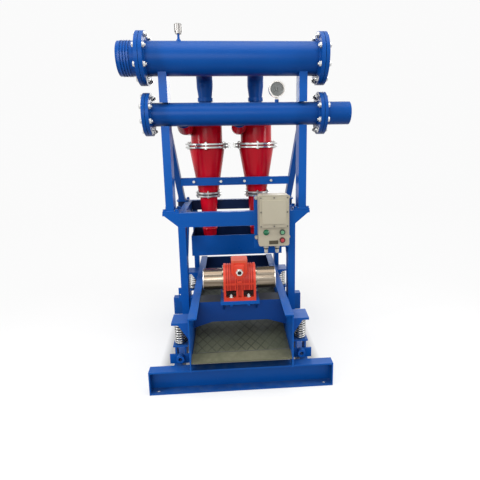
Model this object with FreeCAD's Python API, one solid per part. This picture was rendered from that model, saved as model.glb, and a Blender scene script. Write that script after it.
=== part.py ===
"""Two-cone desander with a vibrating screen, on its own skid.

Millimetres. X runs to the right, Y to the back and Z up. The origin is the
middle of the skid's footprint, on the ground.
"""
import FreeCAD
import Part
import math
import os

V = FreeCAD.Vector

# Skid: two channel rails across, two sills along
skid_width = 1110.0
skid_depth = 1140.0
rail_height = 150.0
rail_flange = 63.0
rail_web = 7.0
rail_lip = 10.0
rail_hole_dia = 22.0
rail_hole_inset = 50.0
channel_height = 100.0
channel_flange = 48.0
channel_web = 5.5
channel_lip = 8.0

# Lower frame: four posts under the platform
platform_top = 999.0
post_outer_x = 411.0
front_post_y = -31.0
rear_post_inner_x = 321.0
rear_post_flange = 40.0
rear_post_width = 63.0
rear_beam_height = 80.0
rear_beam_flange = 43.0
wing_reach = 102.0
wing_depth = 155.0
wing_thick = 18.0
gusset_thick = 8.0
gusset_drop = 76.0
knee_low_z = 690.0
knee_run = 170.0
knee_width = 45.0
lug_low_z = 354.0
lug_height = 100.0
lug_reach = 20.0
lug_thick = 10.0

# Upper frame: two posts that carry both headers
upper_post_outer_x = 490.0
upper_post_flange = 54.0
upper_post_depth = 120.0
upper_post_y = -12.0
upper_post_web = 6.0
upper_post_lip = 9.0
foot_plate = 150.0
foot_thick = 12.0
foot_bolt_size = 24.0
foot_bolt_height = 13.0

# Sloping braces and the rail that holds the cones
brace_width = 46.0
brace_depth = 50.0
brace_web = 5.0
brace_top_x = 440.0
brace_low_x = 408.0
brace_top_z = 1585.0
brace_low_inset = 25.0
brace_foot = 96.0
cone_rail_z = 1146.0
cone_rail_height = 60.0
cone_rail_depth = 26.0
cone_rail_web = 5.0
u_bolt_dia = 12.0
u_nut_size = 19.0
u_nut_height = 10.0
u_bolt_end = 6.0

# Feed header, the lower pipe
feed_radius = 78.0
feed_wall = 5.0
feed_y = 62.0
feed_z = 1665.0
feed_centre_x = 10.0
feed_half = 586.0
feed_flange_radius = 142.5
feed_flange_thick = 22.0
feed_bolt_circle = 120.0
stub_length = 176.0
branch_radius = 50.0
branch_wall = 5.0
branch_joint = 92.0
inlet_elbow_reach = 158.0
branch_collar = 54.0
branch_collar_length = 10.0

# Overflow header, the upper pipe
overflow_radius = 109.5
overflow_wall = 6.0
overflow_y = 50.5
overflow_z = 2021.0
overflow_half = 586.5
overflow_flange_radius = 170.0
overflow_flange_thick = 24.0
overflow_bolt_circle = 147.5
gasket_thick = 3.0
flange_bolts = 8
header_bolt_size = 30.0
header_bolt_height = 13.0
nipple_length = 127.0
nipple_ridges = 4
nipple_ridge_pitch = 17.5
nipple_ridge_height = 5.0
nipple_first_ridge = 48.0

# Overflow pipes from the cyclones up into the header
riser_radius = 49.0
riser_top_radius = 62.0
riser_wall = 4.0
reducer_top_z = 1893.0
riser_bend = 120.0
riser_joint_z = 1797.0
riser_flange_radius = 58.0
riser_flange_thick = 14.0
finder_low_z = 1478.0

# Cyclones
cyclone_x = (-216.0, 174.0)
cyclone_clearance = 7.0
head_radius = 122.0
head_wall = 14.0
head_top_z = 1700.0
head_collar_radius = 68.0
head_collar_height = 14.0
inlet_offset = 140.0
inlet_radius = 54.0
inlet_wall = 9.0
inlet_z = 1583.0
upper_cone_top_radius = 142.0
upper_cone_low_radius = 78.0
upper_joint_z = 1448.0
lower_joint_z = 1066.0
upper_ring_radius = 168.0
upper_rim_radius = 148.0
lower_ring_radius = 102.0
lower_rim_radius = 88.5
rim_thick = 6.0
ring_thick = 12.0
ring_ease = 1.0
lower_cone_top_radius = 72.0
lower_cone_low_radius = 50.0
cone_wall = 12.0
apex_top_z = 772.0
apex_low_z = 728.0
apex_radius = 54.0
ring_bolts = 6
upper_bolt_size = 19.0
lower_bolt_size = 14.0
ring_bolt_head = 8.0
ring_lug_reach = 17.0
ring_lug_half = 16.0
ring_lug_stand = 4.0

# Underflow hopper
hopper_half = 346.0
hopper_front_reach = 241.0
hopper_top_z = 775.0
hopper_low_z = 618.0
hopper_wall = 4.0
hopper_mouth_half = 255.0
hopper_mouth_front_reach = 146.0
hopper_mouth_back_reach = 26.0
hopper_slope_low = 12.0
hopper_slope_height = 60.0

# Vibrating basket
wall_outer_x = 304.0
wall_thick = 8.0
wall_front_margin = 3.0
screen_back_gap = 21.5
wall_top_z = 500.0
wall_low_z = 166.0
wall_flange = 50.0
wall_flange_thick = 8.0
deck_front_inset = 35.0
deck_front_z = 240.0
deck_angle = 3.9
deck_length = 1080.0
screen_thick = 25.0
screen_gap = 4.0
screen_border = 25.0
screen_rib = 18.0
screen_cells = 4
screen_sheet = 3.0
ledge_width = 45.0
ledge_height = 45.0
ledge_wall = 4.0
rear_plate_low_z = 200.0
lip_length = 72.0
lip_thick = 9.0
lip_drop = 14.0
lip_gap = 2.0
beam_reach = 42.0
beam_depth = 110.0
beam_low_z = 362.0
beam_top_z = 495.0
beam_wall = 8.0
flare_length = 120.0
flare_drop = 38.0
seat_half = 120.0
seat_front_reach = 97.0
seat_back_reach = 98.0
seat_thick = 22.0
seat_rib_x = 98.0
seat_rib_thick = 10.0
seat_rib_height = 55.0

# Vibrator motor
motor_inset = 232.0
motor_axis_z = 632.0
motor_half = 99.0
motor_radius = 92.0
motor_bore = 72.0
motor_end_plate = 14.0
motor_arch_radius = 95.0
motor_foot_half = 95.0
motor_foot_height = 22.0
motor_pocket_height = 46.0
motor_block_half = 90.0
motor_core_half = 60.0
motor_web_half = 22.0
motor_bolt_x = 54.0
motor_bolt_y = 78.0
cover_radius = 67.0
cover_wall = 2.5
cover_length = 127.0
cover_rim = 74.0
cover_rim_thick = 8.0
cover_bolts = 4
cover_bolt_circle = 85.0
cover_screw_size = 13.0
cover_screw_height = 8.0
shaft_radius = 17.0
shaft_half = 215.0
rotor_radius = 38.0
rotor_half = 45.0
rotor_gap = 1.0
stator_half = 50.0
bearing_radius = 36.0
bearing_width = 18.0
weight_radius = 56.0
weight_thick = 26.0
weight_x = 150.0
weight_hub = 26.0
box_half_x = 50.0
terminal_front_reach = 82.0
terminal_back_reach = 18.0
terminal_low_z = 668.0
terminal_top_z = 758.0
terminal_corner = 14.0
terminal_wall = 8.0
lid_thick = 14.0
gland_z = 702.0
gland_radius = 22.0
gland_bore = 12.0
gland_length = 26.0

# Spring supports
spring_x = 371.0
spring_front_inset = 131.0
spring_back_inset = 129.0
spring_low_z = 266.0
spring_top_z = 412.0
spring_radius = 33.0
spring_wire = 4.6
spring_turns = 7.5
spring_wire_sides = 4
bracket_half = 62.0
bracket_reach = 113.0
bracket_plate = 9.0
bracket_lip = 14.0
bracket_gusset_reach = 76.0
bracket_gusset_drop = 117.0
seat_plate_half = 44.0
seat_plate_thick = 10.0
pin_radius = 14.0
pin_height = 22.0
pedestal_half = 46.0
pedestal_bar = 60.0
pedestal_thick = 10.0
boss_radius = 24.0
boss_bore = 12.0
boss_rise = 41.0
boss_length = 30.0

# Pressure gauge and vent
gauge_x = 293.0
gauge_z = 1827.0
gauge_radius = 55.0
gauge_depth = 38.0
gauge_rim = 9.0
gauge_dial_depth = 14.0
gauge_stem_radius = 8.0
gauge_socket_radius = 14.0
gauge_socket_height = 16.0
glass_thick = 2.0
pointer_length = 34.0
pointer_tail = 12.0
pointer_width = 4.0
pointer_thick = 1.2
pointer_hub = 5.0
pointer_pin = 2.0
vent_x = -353.0
vent_stem_radius = 8.0
vent_collar_z = 2175.0
vent_collar_radius = 21.0
vent_cap_z = 2187.0
vent_cap_radius = 25.0
vent_top_z = 2236.0

# Control box
box_left_x = 142.0
box_right_x = 350.0
box_low_z = 778.0
box_top_z = 1127.0
box_front_y = -145.0
box_back_y = -45.0
box_wall = 10.0
box_corner = 14.0
cover_margin = 6.0
cover_land = 20.0
cover_low_z = 909.0
cover_plate = 14.0
cover_raise = 7.0
cover_step_x = 18.0
cover_step_z = 25.0
cover_bolt_inset = 9.0
cover_bolt_size = 10.0
cover_bolt_height = 6.0
label_left_x = 212.0
label_right_x = 274.0
label_low_z = 790.0
label_top_z = 816.0
label_thick = 1.5
ear_radius = 13.0
ear_out = 8.0
ear_thick = 10.0
ear_z = (817.0, 1098.0)
ear_bolt_size = 13.0
bracket_left_x = 118.0
bracket_right_x = 372.0
bracket_low_z = 738.0
bracket_top_z = 1112.0
bracket_sheet = 8.0
box_foot_height = 6.0
lamp_x = 193.0
lamp_z = 874.0
lamp_radius = 20.0
lamp_spigot = 11.0
button_x = 302.0
start_z = 874.0
stop_z = 819.0
button_radius = 12.0
button_ring_radius = 19.0
button_ring_height = 12.0
button_stand = 8.0
button_clearance = 0.3
gland_x = (196.0, 272.0)
box_gland_radius = 17.0
box_gland_bore = 8.0
box_gland_length = 62.0

# Values worked out from the sizes above
skid_front_y = -skid_depth / 2.0
skid_back_y = skid_depth / 2.0
post_inner_x = post_outer_x - channel_flange - 2.0
beam_low_edge = platform_top - channel_height
rear_beam_y = skid_back_y - rear_beam_flange - 2.0
rail_hole_x = skid_width / 2.0 - rail_hole_inset
brace_low_y = rear_beam_y - brace_low_inset
upper_post_inner_x = upper_post_outer_x - upper_post_flange
upper_post_back_y = upper_post_y + upper_post_depth
cyclone_y = rear_beam_y - lower_cone_top_radius - cyclone_clearance
inlet_elbow_y = feed_y + inlet_elbow_reach
branch_drop_angle = math.degrees(math.atan2(feed_z - inlet_z, inlet_elbow_y - feed_y))
hopper_back_y = skid_back_y - rear_post_width
hopper_front_y = cyclone_y - hopper_front_reach
hopper_mouth_front = cyclone_y - hopper_mouth_front_reach
hopper_mouth_back = cyclone_y - hopper_mouth_back_reach
deck_front_y = skid_front_y + deck_front_inset
deck_run = deck_length * math.cos(math.radians(deck_angle))
wall_inner_x = wall_outer_x - wall_thick
wall_front_y = deck_front_y - lip_gap - lip_length - wall_front_margin
wall_back_y = deck_front_y + deck_run + screen_back_gap + wall_thick
motor_y = skid_front_y + motor_inset
terminal_front_y = motor_y - terminal_front_reach
terminal_back_y = motor_y + terminal_back_reach
beam_front_y = motor_y - beam_reach
seat_front_y = motor_y - seat_front_reach
seat_back_y = motor_y + seat_back_reach
spring_y = (skid_front_y + spring_front_inset, skid_back_y - spring_back_inset)
seat_top_z = beam_top_z + seat_thick
sleeve_gap = 0.3


def box(x0, x1, y0, y1, z0, z1):
    """Closed block between two corners."""
    return Part.makeBox(x1 - x0, y1 - y0, z1 - z0, V(x0, y0, z0))


def rod(radius, length, start, direction):
    """Round bar from a start point along a direction."""
    return Part.makeCylinder(radius, length, start, direction)


def tube(radius, bore, length, start, direction):
    """Round pipe with a bore right through."""
    return rod(radius, length, start, direction).cut(rod(bore, length, start, direction))


def hexagon(across, height, start, direction):
    """Bolt head or nut, with its flats across the given size."""
    corner = across / math.sqrt(3.0)
    points = []
    for k in range(7):
        turn = math.radians(60.0 * k)
        points.append(V(corner * math.cos(turn), corner * math.sin(turn), 0.0))
    face = Part.Face(Part.makePolygon(points))
    solid = face.extrude(V(0.0, 0.0, height))
    solid.Placement = FreeCAD.Placement(start, FreeCAD.Rotation(V(0, 0, 1), direction))
    return solid


def channel(x0, x1, y0, y1, z0, z1, along, opening, web, lip):
    """Rolled channel in a block: its web stands opposite the open side."""
    low = [x0, y0, z0]
    high = [x1, y1, z1]
    inner_low = list(low)
    inner_high = list(high)
    open_axis = "xyz".index(opening[1])
    for axis in range(3):
        if axis == "xyz".index(along):
            continue
        if axis == open_axis:
            if opening[0] == "+":
                inner_low[axis] = low[axis] + web
            else:
                inner_high[axis] = high[axis] - web
        else:
            inner_low[axis] = low[axis] + lip
            inner_high[axis] = high[axis] - lip
    solid = box(low[0], high[0], low[1], high[1], low[2], high[2])
    hollow = box(inner_low[0], inner_high[0], inner_low[1], inner_high[1], inner_low[2], inner_high[2])
    return solid.cut(hollow)


def plate(points, thickness):
    """Flat plate from its outline, thickened along the given vector."""
    wire = Part.makePolygon([V(*p) for p in points] + [V(*points[0])])
    return Part.Face(wire).extrude(V(*thickness))


def turned(profile, origin):
    """Solid of revolution about a vertical axis from (radius, height) pairs."""
    wire = Part.makePolygon([V(r, 0.0, z) for r, z in profile] + [V(profile[0][0], 0.0, profile[0][1])])
    solid = Part.Face(wire).revolve(V(0, 0, 0), V(0, 0, 1), 360.0)
    solid.translate(V(*origin))
    return solid


def mirrored(shape):
    """The same piece on the other side of the middle plane."""
    return shape.mirror(V(0, 0, 0), V(1, 0, 0))


def joined(first, *others):
    """One solid from pieces that are welded or cast together."""
    return first.multiFuse(list(others)).removeSplitter()


def save(name, shape):
    shape.exportStep("parts/" + name + ".step")


# Skid


def skid_rail(front):
    """Cross rail: a channel with closed ends and holes to bolt it down."""
    half = skid_width / 2.0
    y0 = skid_front_y
    y1 = skid_front_y + rail_flange
    body = channel(-half, half, y0, y1, 0.0, rail_height, "x", "-y", rail_web, rail_lip)
    for side in (-1.0, 1.0):
        x_end = side * half
        x_in = x_end - side * rail_web
        body = body.fuse(box(min(x_in, x_end), max(x_in, x_end), y0, y1, 0.0, rail_height))
    for side in (-1.0, 1.0):
        start = V(side * rail_hole_x, (y0 + y1 - rail_web) / 2.0, -1.0)
        body = body.cut(rod(rail_hole_dia / 2.0, rail_lip + 2.0, start, V(0, 0, 1)))
    body = body.removeSplitter()
    if not front:
        body = body.mirror(V(0, 0, 0), V(0, 1, 0))
    return body


def spring_pedestal(y):
    """Stand on the sill: a cross bar with a bushing, two ribs and the spring's seat."""
    inner = spring_x - pedestal_half - 10.0
    outer = spring_x + pedestal_half + 20.0
    bar = box(inner, outer, y - pedestal_half, y - pedestal_half + pedestal_thick, rail_height,
              rail_height + pedestal_bar)
    slant_top = spring_low_z - seat_plate_thick
    rib_low = rail_height
    ribs = []
    for x in (spring_x - 34.0, spring_x + 24.0):
        outline = [(x, y - pedestal_half + pedestal_thick, rib_low), (x, y + pedestal_half, rib_low),
                   (x, y + 36.0, slant_top), (x, y - 36.0, slant_top)]
        ribs.append(plate(outline, (pedestal_thick, 0, 0)))
    base = box(spring_x - pedestal_half, post_outer_x, y - pedestal_half + pedestal_thick,
               y + pedestal_half, rib_low, rib_low + pedestal_thick)
    seat = box(spring_x - seat_plate_half, spring_x + seat_plate_half, y - seat_plate_half,
               y + seat_plate_half,
               slant_top, spring_low_z)
    guide = rod(pin_radius, pin_height, V(spring_x, y, spring_low_z), V(0, 0, 1))
    boss_start = V(spring_x, y - pedestal_half - boss_length, rail_height + boss_rise)
    boss = rod(boss_radius, boss_length, boss_start, V(0, 1, 0))
    stand = joined(bar, base, seat, guide, boss, *ribs)
    return stand.cut(rod(boss_bore, boss_length + pedestal_thick + 2.0, boss_start, V(0, 1, 0)))


def skid_sill():
    """Channel along one side with both spring stands on it."""
    y0 = skid_front_y + rail_flange
    sill = channel(post_inner_x, post_outer_x, y0, -y0, rail_height - channel_height, rail_height, "y",
                   "+x", channel_web, channel_lip)
    return joined(sill, *[spring_pedestal(y) for y in spring_y])


save_list = []


def keep(name, shape):
    save_list.append((name, shape))


def keep_pair(stem, shape):
    """Right-hand piece as modelled, left-hand piece mirrored."""
    keep(stem + "_right", shape)
    keep(stem + "_left", mirrored(shape))


keep("skid_front_rail", skid_rail(True))
keep("skid_rear_rail", skid_rail(False))
keep_pair("skid_sill", skid_sill())


# Lower posts with their knee braces


def front_post():
    """Channel post, with the knee brace up to the platform's side beam."""
    y0 = front_post_y
    y1 = front_post_y + channel_height
    post = channel(post_inner_x, post_outer_x, y0, y1, rail_height, beam_low_edge, "z", "+x", channel_web,
                   channel_lip)
    rise = beam_low_edge - knee_low_z
    across = knee_width * math.hypot(knee_run, rise) / rise
    outline = [(post_inner_x, y1, knee_low_z - knee_width), (post_inner_x, y1, knee_low_z),
               (post_inner_x, y1 + knee_run - across / 2.0, beam_low_edge),
               (post_inner_x, y1 + knee_run + across / 2.0, beam_low_edge)]
    knee = plate(outline, (channel_flange / 2.0 + 14.0, 0, 0))
    return joined(post, knee)


def earth_lug(x0, y0):
    """Drilled lug on the outer flange of the left front post."""
    lug = box(x0 - lug_reach, x0, y0, y0 + lug_thick, lug_low_z, lug_low_z + lug_height)
    hole = rod(5.0, lug_thick + 2.0, V(x0 - lug_reach / 2.0, y0 - 1.0, lug_low_z + lug_height / 2.0),
               V(0, 1, 0))
    return lug.cut(hole)


def rear_post():
    x1 = rear_post_inner_x + rear_post_flange
    return channel(rear_post_inner_x, x1, skid_back_y - rear_post_width, skid_back_y, rail_height,
                   platform_top - rear_beam_height, "z", "+x", channel_web, channel_lip)


keep("front_post_right", front_post())
keep("front_post_left", joined(mirrored(front_post()), earth_lug(-post_outer_x, front_post_y)))
keep_pair("rear_post", rear_post())


# Platform


def platform_front_beam():
    """Cross channel with an outrigger and two gussets under each upper post."""
    y0 = front_post_y
    y1 = y0 + channel_flange
    beam = channel(-post_outer_x, post_outer_x, y0, y1, beam_low_edge, platform_top, "x", "+y", channel_web,
                   channel_lip)
    pieces = []
    for side in (-1.0, 1.0):
        x_in = side * post_outer_x
        x_out = side * (post_outer_x + wing_reach)
        pieces.append(box(min(x_in, x_out), max(x_in, x_out), y0, y0 + wing_depth,
                          platform_top - wing_thick, platform_top))
        for y in (y0, y0 + wing_depth - gusset_thick):
            low = platform_top - wing_thick
            outline = [(x_in, y, low), (x_out - side * 12.0, y, low), (x_in, y, low - gusset_drop)]
            pieces.append(plate(outline, (0, gusset_thick, 0)))
    return joined(beam, *pieces)


def platform_rear_beam():
    y0 = rear_beam_y
    reach = brace_low_x + brace_width + 24.0
    return channel(-reach, reach, y0, y0 + rear_beam_flange, platform_top - rear_beam_height, platform_top,
                   "x", "+y", channel_web, channel_lip)


def platform_side_beam():
    return channel(post_inner_x, post_outer_x, front_post_y + channel_flange, rear_beam_y, beam_low_edge,
                   platform_top,
                   "y", "+x", channel_web, channel_lip)


keep("platform_front_beam", platform_front_beam())
keep("platform_rear_beam", platform_rear_beam())
keep_pair("platform_side_beam", platform_side_beam())


# Upper posts, braces and the rail in front of the cones


def upper_post():
    """Channel post with a bolted foot, cut to a saddle at each header."""
    x0 = upper_post_inner_x
    x1 = upper_post_outer_x
    y0 = upper_post_y
    y1 = upper_post_back_y
    low = platform_top + foot_thick
    post = channel(x0, x1, y0, y1, low, overflow_z, "z", "+x", upper_post_web, upper_post_lip)
    reach = x1 + 10.0
    for radius, y, z in ((feed_radius, feed_y, feed_z), (overflow_radius, overflow_y, overflow_z)):
        post = post.cut(rod(radius, 2.0 * reach, V(-reach, y, z), V(1, 0, 0)))
    above = box(x0 - 1.0, x1 + 1.0, y0 - 1.0, y1 + 1.0, overflow_z - 40.0, overflow_z + 1.0)
    post = post.cut(above)
    middle = (x0 + x1) / 2.0
    foot_x0 = middle - foot_plate / 2.0 + 12.0
    foot_x1 = post_outer_x + wing_reach
    foot = box(foot_x0, foot_x1, y0 - 10.0, y0 + foot_plate - 10.0, platform_top, low)
    bolts = []
    for x in (foot_x0 + 18.0, foot_x1 - 14.0):
        for y in (y0 + 8.0, y0 + foot_plate - 28.0):
            bolts.append(hexagon(foot_bolt_size, foot_bolt_height, V(x, y, low), V(0, 0, 1)))
    lower = []
    for solid in post.Solids:
        lower.append(solid)
    lower.sort(key=lambda s: s.BoundBox.ZMin)
    return Part.makeCompound([joined(lower[0], foot, *bolts)] + lower[1:])


def brace_bar(a0, a1, b0, b1):
    """Straight bar along the brace, between two edges across and two deep."""
    start = V(brace_top_x, upper_post_back_y, brace_top_z)
    end = V(brace_low_x, brace_low_y, platform_top + foot_thick)
    run = end - start
    down = V(run).normalize()
    side = (V(1, 0, 0) - down * down.x).normalize()
    front = down.cross(side).normalize()
    if front.y > 0:
        front = front * -1.0
    extra = 90.0
    corners = []
    for a, b in ((a0, b0), (a1, b0), (a1, b1), (a0, b1)):
        corners.append(start - down * extra + side * a + front * b)
    return Part.Face(Part.makePolygon(corners + [corners[0]])).extrude(down * (run.Length + 2.0 * extra))


def sloping_brace():
    """Channel from the post's back down to the platform's rear corner."""
    outer = brace_bar(0.0, brace_width, 0.0, brace_depth)
    bar = outer.cut(brace_bar(brace_web, brace_width + 1.0, brace_web, brace_depth - brace_web))
    span = 900.0
    keep_box = box(0.0, span, upper_post_back_y, span, platform_top + foot_thick, 2.0 * span + platform_top)
    bar = bar.common(keep_box)
    foot_x = brace_low_x + brace_width / 2.0
    foot_y = rear_beam_y + rear_beam_flange - brace_foot
    foot = box(foot_x - brace_foot / 2.0, foot_x + brace_foot / 2.0, foot_y, foot_y + brace_foot,
               platform_top, platform_top + foot_thick)
    low = platform_top + foot_thick
    bolts = []
    for x in (foot_x - brace_foot / 2.0 + 13.0, foot_x + brace_foot / 2.0 - 13.0):
        bolts.append(hexagon(upper_bolt_size, foot_bolt_height, V(x, foot_y + brace_foot - 13.0, low),
                             V(0, 0, 1)))
    return joined(bar, foot, *bolts)


def upper_cone_radius(z):
    """Outside radius of the upper cone at a height."""
    share = (z - lower_joint_z) / (upper_joint_z - lower_joint_z)
    return upper_cone_low_radius + (upper_cone_top_radius - upper_cone_low_radius) * share


def cone_rail():
    """Channel between the braces, with a half-round clamp bolt behind each cone."""
    back = cyclone_y - upper_cone_radius(cone_rail_z + cone_rail_height) - sleeve_gap
    front = back - cone_rail_depth
    half = brace_top_x + brace_width / 2.0
    top = cone_rail_z + cone_rail_height
    rail = channel(-half, half, front, back, cone_rail_z, top, "x", "+y", cone_rail_web, cone_rail_web)
    block = brace_bar(0.0, 2.0 * brace_width, -brace_depth, 2.0 * brace_depth)
    rail = rail.cut(block).cut(mirrored(block))
    middle = (cone_rail_z + top) / 2.0
    reach = upper_cone_radius(middle + u_bolt_dia / 2.0) + sleeve_gap + u_bolt_dia / 2.0
    pieces = []
    for x in cyclone_x:
        end = front - u_nut_height - u_bolt_end
        ring = Part.Face(Part.Wire(Part.makeCircle(u_bolt_dia / 2.0, V(x + reach, cyclone_y, middle),
                                                   V(0, 1, 0))))
        bolt = ring.revolve(V(x, cyclone_y, middle), V(0, 0, 1), 180.0)
        nuts = []
        for leg in (x - reach, x + reach):
            rail = rail.cut(rod(u_bolt_dia / 2.0 + sleeve_gap, 2.0 * cone_rail_depth,
                                V(leg, front - 1.0, middle), V(0, 1, 0)))
            bolt = bolt.fuse(rod(u_bolt_dia / 2.0, cyclone_y - end, V(leg, end, middle), V(0, 1, 0)))
            nuts.append(hexagon(u_nut_size, u_nut_height, V(leg, front, middle), V(0, -1, 0)))
        pieces.append(bolt.multiFuse(nuts))
    return Part.makeCompound([rail] + pieces)


keep_pair("upper_post", upper_post())
keep_pair("brace", sloping_brace())
keep("cone_rail", cone_rail())


# Pipes: headers, stubs, blinds, gaskets and bolts


def pipe_between_flanges(radius, wall, half, flange_radius, flange_thick, x, y, z):
    """Pipe with a flat flange welded at each end."""
    start = V(x - half, y, z)
    pipe = tube(radius, radius - wall, 2.0 * half, start, V(1, 0, 0))
    left = tube(flange_radius, radius, flange_thick, start, V(1, 0, 0))
    right = tube(flange_radius, radius, flange_thick, V(x + half - flange_thick, y, z), V(1, 0, 0))
    return joined(pipe, left, right)


def branch_direction():
    turn = math.radians(branch_drop_angle)
    return V(0.0, math.cos(turn), -math.sin(turn))


def feed_header():
    """Lower header with two sloping branches and the gauge's socket."""
    body = pipe_between_flanges(feed_radius, feed_wall, feed_half, feed_flange_radius, feed_flange_thick,
                                feed_centre_x, feed_y, feed_z)
    bore = rod(feed_radius - feed_wall, 2.0 * feed_half, V(feed_centre_x - feed_half, feed_y, feed_z),
               V(1, 0, 0))
    way = branch_direction()
    for x in cyclone_x:
        root = V(x - inlet_offset, feed_y, feed_z)
        branch = rod(branch_radius, branch_joint, root, way)
        collar = rod(branch_collar, branch_collar_length,
                     root + way * (branch_joint - branch_collar_length), way)
        hole = rod(branch_radius - branch_wall, branch_joint + 1.0, root, way)
        body = body.fuse(branch).fuse(collar).cut(hole).cut(bore)
    low = feed_z + math.sqrt(feed_radius ** 2 - gauge_socket_radius ** 2) - 2.0
    socket = rod(gauge_socket_radius, feed_z + feed_radius + gauge_socket_height - low,
                 V(gauge_x, feed_y, low), V(0, 0, 1))
    return body.fuse(socket).removeSplitter()


def disc(radius, thick, x, y, z):
    return rod(radius, thick, V(x, y, z), V(1, 0, 0))


feed_left_face = feed_centre_x - feed_half
feed_right_face = feed_centre_x + feed_half
stub_start = feed_right_face + gasket_thick
blind_start = feed_left_face - gasket_thick - feed_flange_thick
overflow_blind_start = overflow_half + gasket_thick
nipple_flange_start = -overflow_half - gasket_thick - overflow_flange_thick


def feed_stub():
    end = stub_start + feed_flange_thick + stub_length
    pipe = tube(feed_radius, feed_radius - feed_wall, end - stub_start, V(stub_start, feed_y, feed_z),
                V(1, 0, 0))
    flange = tube(feed_flange_radius, feed_radius, feed_flange_thick, V(stub_start, feed_y, feed_z),
                  V(1, 0, 0))
    return joined(pipe, flange)


def hose_nipple():
    """Flanged nipple with ridges that hold a hose."""
    x0 = nipple_flange_start
    bore = overflow_radius - overflow_wall
    profile = [(bore, 0.0), (overflow_flange_radius, 0.0), (overflow_flange_radius, overflow_flange_thick)]
    profile.append((overflow_radius, overflow_flange_thick))
    for k in range(nipple_ridges):
        at = overflow_flange_thick + nipple_first_ridge + k * nipple_ridge_pitch
        profile.append((overflow_radius, at))
        profile.append((overflow_radius + nipple_ridge_height, at))
        profile.append((overflow_radius, at + nipple_ridge_pitch * 0.75))
    end = overflow_flange_thick + nipple_length
    profile.append((overflow_radius, end))
    profile.append((bore, end))
    solid = turned(profile, (0, 0, 0))
    spin = FreeCAD.Rotation(V(0, 0, 1), V(-1, 0, 0))
    solid.Placement = FreeCAD.Placement(V(x0 + overflow_flange_thick, overflow_y, overflow_z), spin)
    return solid


def bolt_ring(circle, x_left, x_right, y, z):
    """Heads on the left face and nuts on the right face of a bolted pair."""
    made = []
    for k in range(flange_bolts):
        turn = math.radians(360.0 * (k + 0.5) / flange_bolts)
        at_y = y + circle * math.cos(turn)
        at_z = z + circle * math.sin(turn)
        made.append(hexagon(header_bolt_size, header_bolt_height, V(x_left, at_y, at_z), V(-1, 0, 0)))
        made.append(hexagon(header_bolt_size, header_bolt_height, V(x_right, at_y, at_z), V(1, 0, 0)))
    return made


def all_flange_bolts():
    made = []
    made += bolt_ring(feed_bolt_circle, blind_start, feed_left_face + feed_flange_thick, feed_y, feed_z)
    made += bolt_ring(feed_bolt_circle, feed_right_face - feed_flange_thick, stub_start + feed_flange_thick,
                      feed_y, feed_z)
    made += bolt_ring(overflow_bolt_circle, nipple_flange_start, -overflow_half + overflow_flange_thick,
                      overflow_y, overflow_z)
    made += bolt_ring(overflow_bolt_circle, overflow_half - overflow_flange_thick,
                      overflow_blind_start + overflow_flange_thick, overflow_y, overflow_z)
    return Part.makeCompound(made)


def all_gaskets():
    inset = 26.0
    feed_ring = feed_flange_radius - inset
    over_ring = overflow_flange_radius - inset
    made = []
    for x in (feed_left_face - gasket_thick, feed_right_face):
        made.append(tube(feed_ring, feed_radius, gasket_thick, V(x, feed_y, feed_z), V(1, 0, 0)))
    for x in (-overflow_half - gasket_thick, overflow_half):
        made.append(tube(over_ring, overflow_radius, gasket_thick, V(x, overflow_y, overflow_z),
                         V(1, 0, 0)))
    return Part.makeCompound(made)


def overflow_header():
    body = pipe_between_flanges(overflow_radius, overflow_wall, overflow_half, overflow_flange_radius,
                                overflow_flange_thick, 0.0, overflow_y, overflow_z)
    for x in cyclone_x:
        body = body.cut(rod(riser_top_radius - riser_wall, overflow_radius + 10.0,
                            V(x, overflow_y, overflow_z),
                            V(0, 1, 0)))
    return body


def riser(x):
    """Overflow pipe: vortex tube, flanged joint, reducer and the bend into the header."""
    bend_y = cyclone_y - riser_bend
    bend_z = overflow_z - riser_bend
    span = 4.0 * riser_bend

    def way(inset):
        low = riser_radius - inset
        top = riser_top_radius - inset
        upright = rod(low, riser_joint_z - finder_low_z, V(x, cyclone_y, finder_low_z), V(0, 0, 1))
        taper = Part.makeCone(low, top, reducer_top_z - riser_joint_z, V(x, cyclone_y, riser_joint_z),
                              V(0, 0, 1))
        straight = rod(top, bend_z - reducer_top_z, V(x, cyclone_y, reducer_top_z), V(0, 0, 1))
        circle = Part.Face(Part.Wire(Part.makeCircle(top, V(x, cyclone_y, bend_z), V(0, 0, 1))))
        bend = circle.revolve(V(x, bend_y, bend_z), V(1, 0, 0), 90.0)
        level = rod(top, bend_y - overflow_y, V(x, overflow_y, overflow_z), V(0, 1, 0))
        return upright.fuse(taper).fuse(straight).fuse(bend).fuse(level)

    flange = rod(riser_flange_radius, 2.0 * riser_flange_thick,
                 V(x, cyclone_y, riser_joint_z - riser_flange_thick), V(0, 0, 1))
    pipe = way(0.0).fuse(flange).cut(way(riser_wall))
    header = rod(overflow_radius, span, V(x - span / 2.0, overflow_y, overflow_z), V(1, 0, 0))
    pipe = pipe.cut(header)
    low_end = riser_joint_z - 2.0 * span
    below = box(x - span, x + span, overflow_y - span, cyclone_y + span, low_end, riser_joint_z)
    under_bend = box(x - span, x + span, overflow_y - span, cyclone_y + span, low_end, bend_z)
    past_bend = box(x - span, x + span, overflow_y - span, bend_y, low_end, overflow_z + span)
    spool = pipe.common(below)
    reducer = pipe.common(under_bend).cut(below)
    level = pipe.common(past_bend)
    elbow = pipe.cut(under_bend).cut(past_bend)
    return Part.makeCompound([piece.removeSplitter() for piece in (spool, reducer, elbow, level)])


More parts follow.
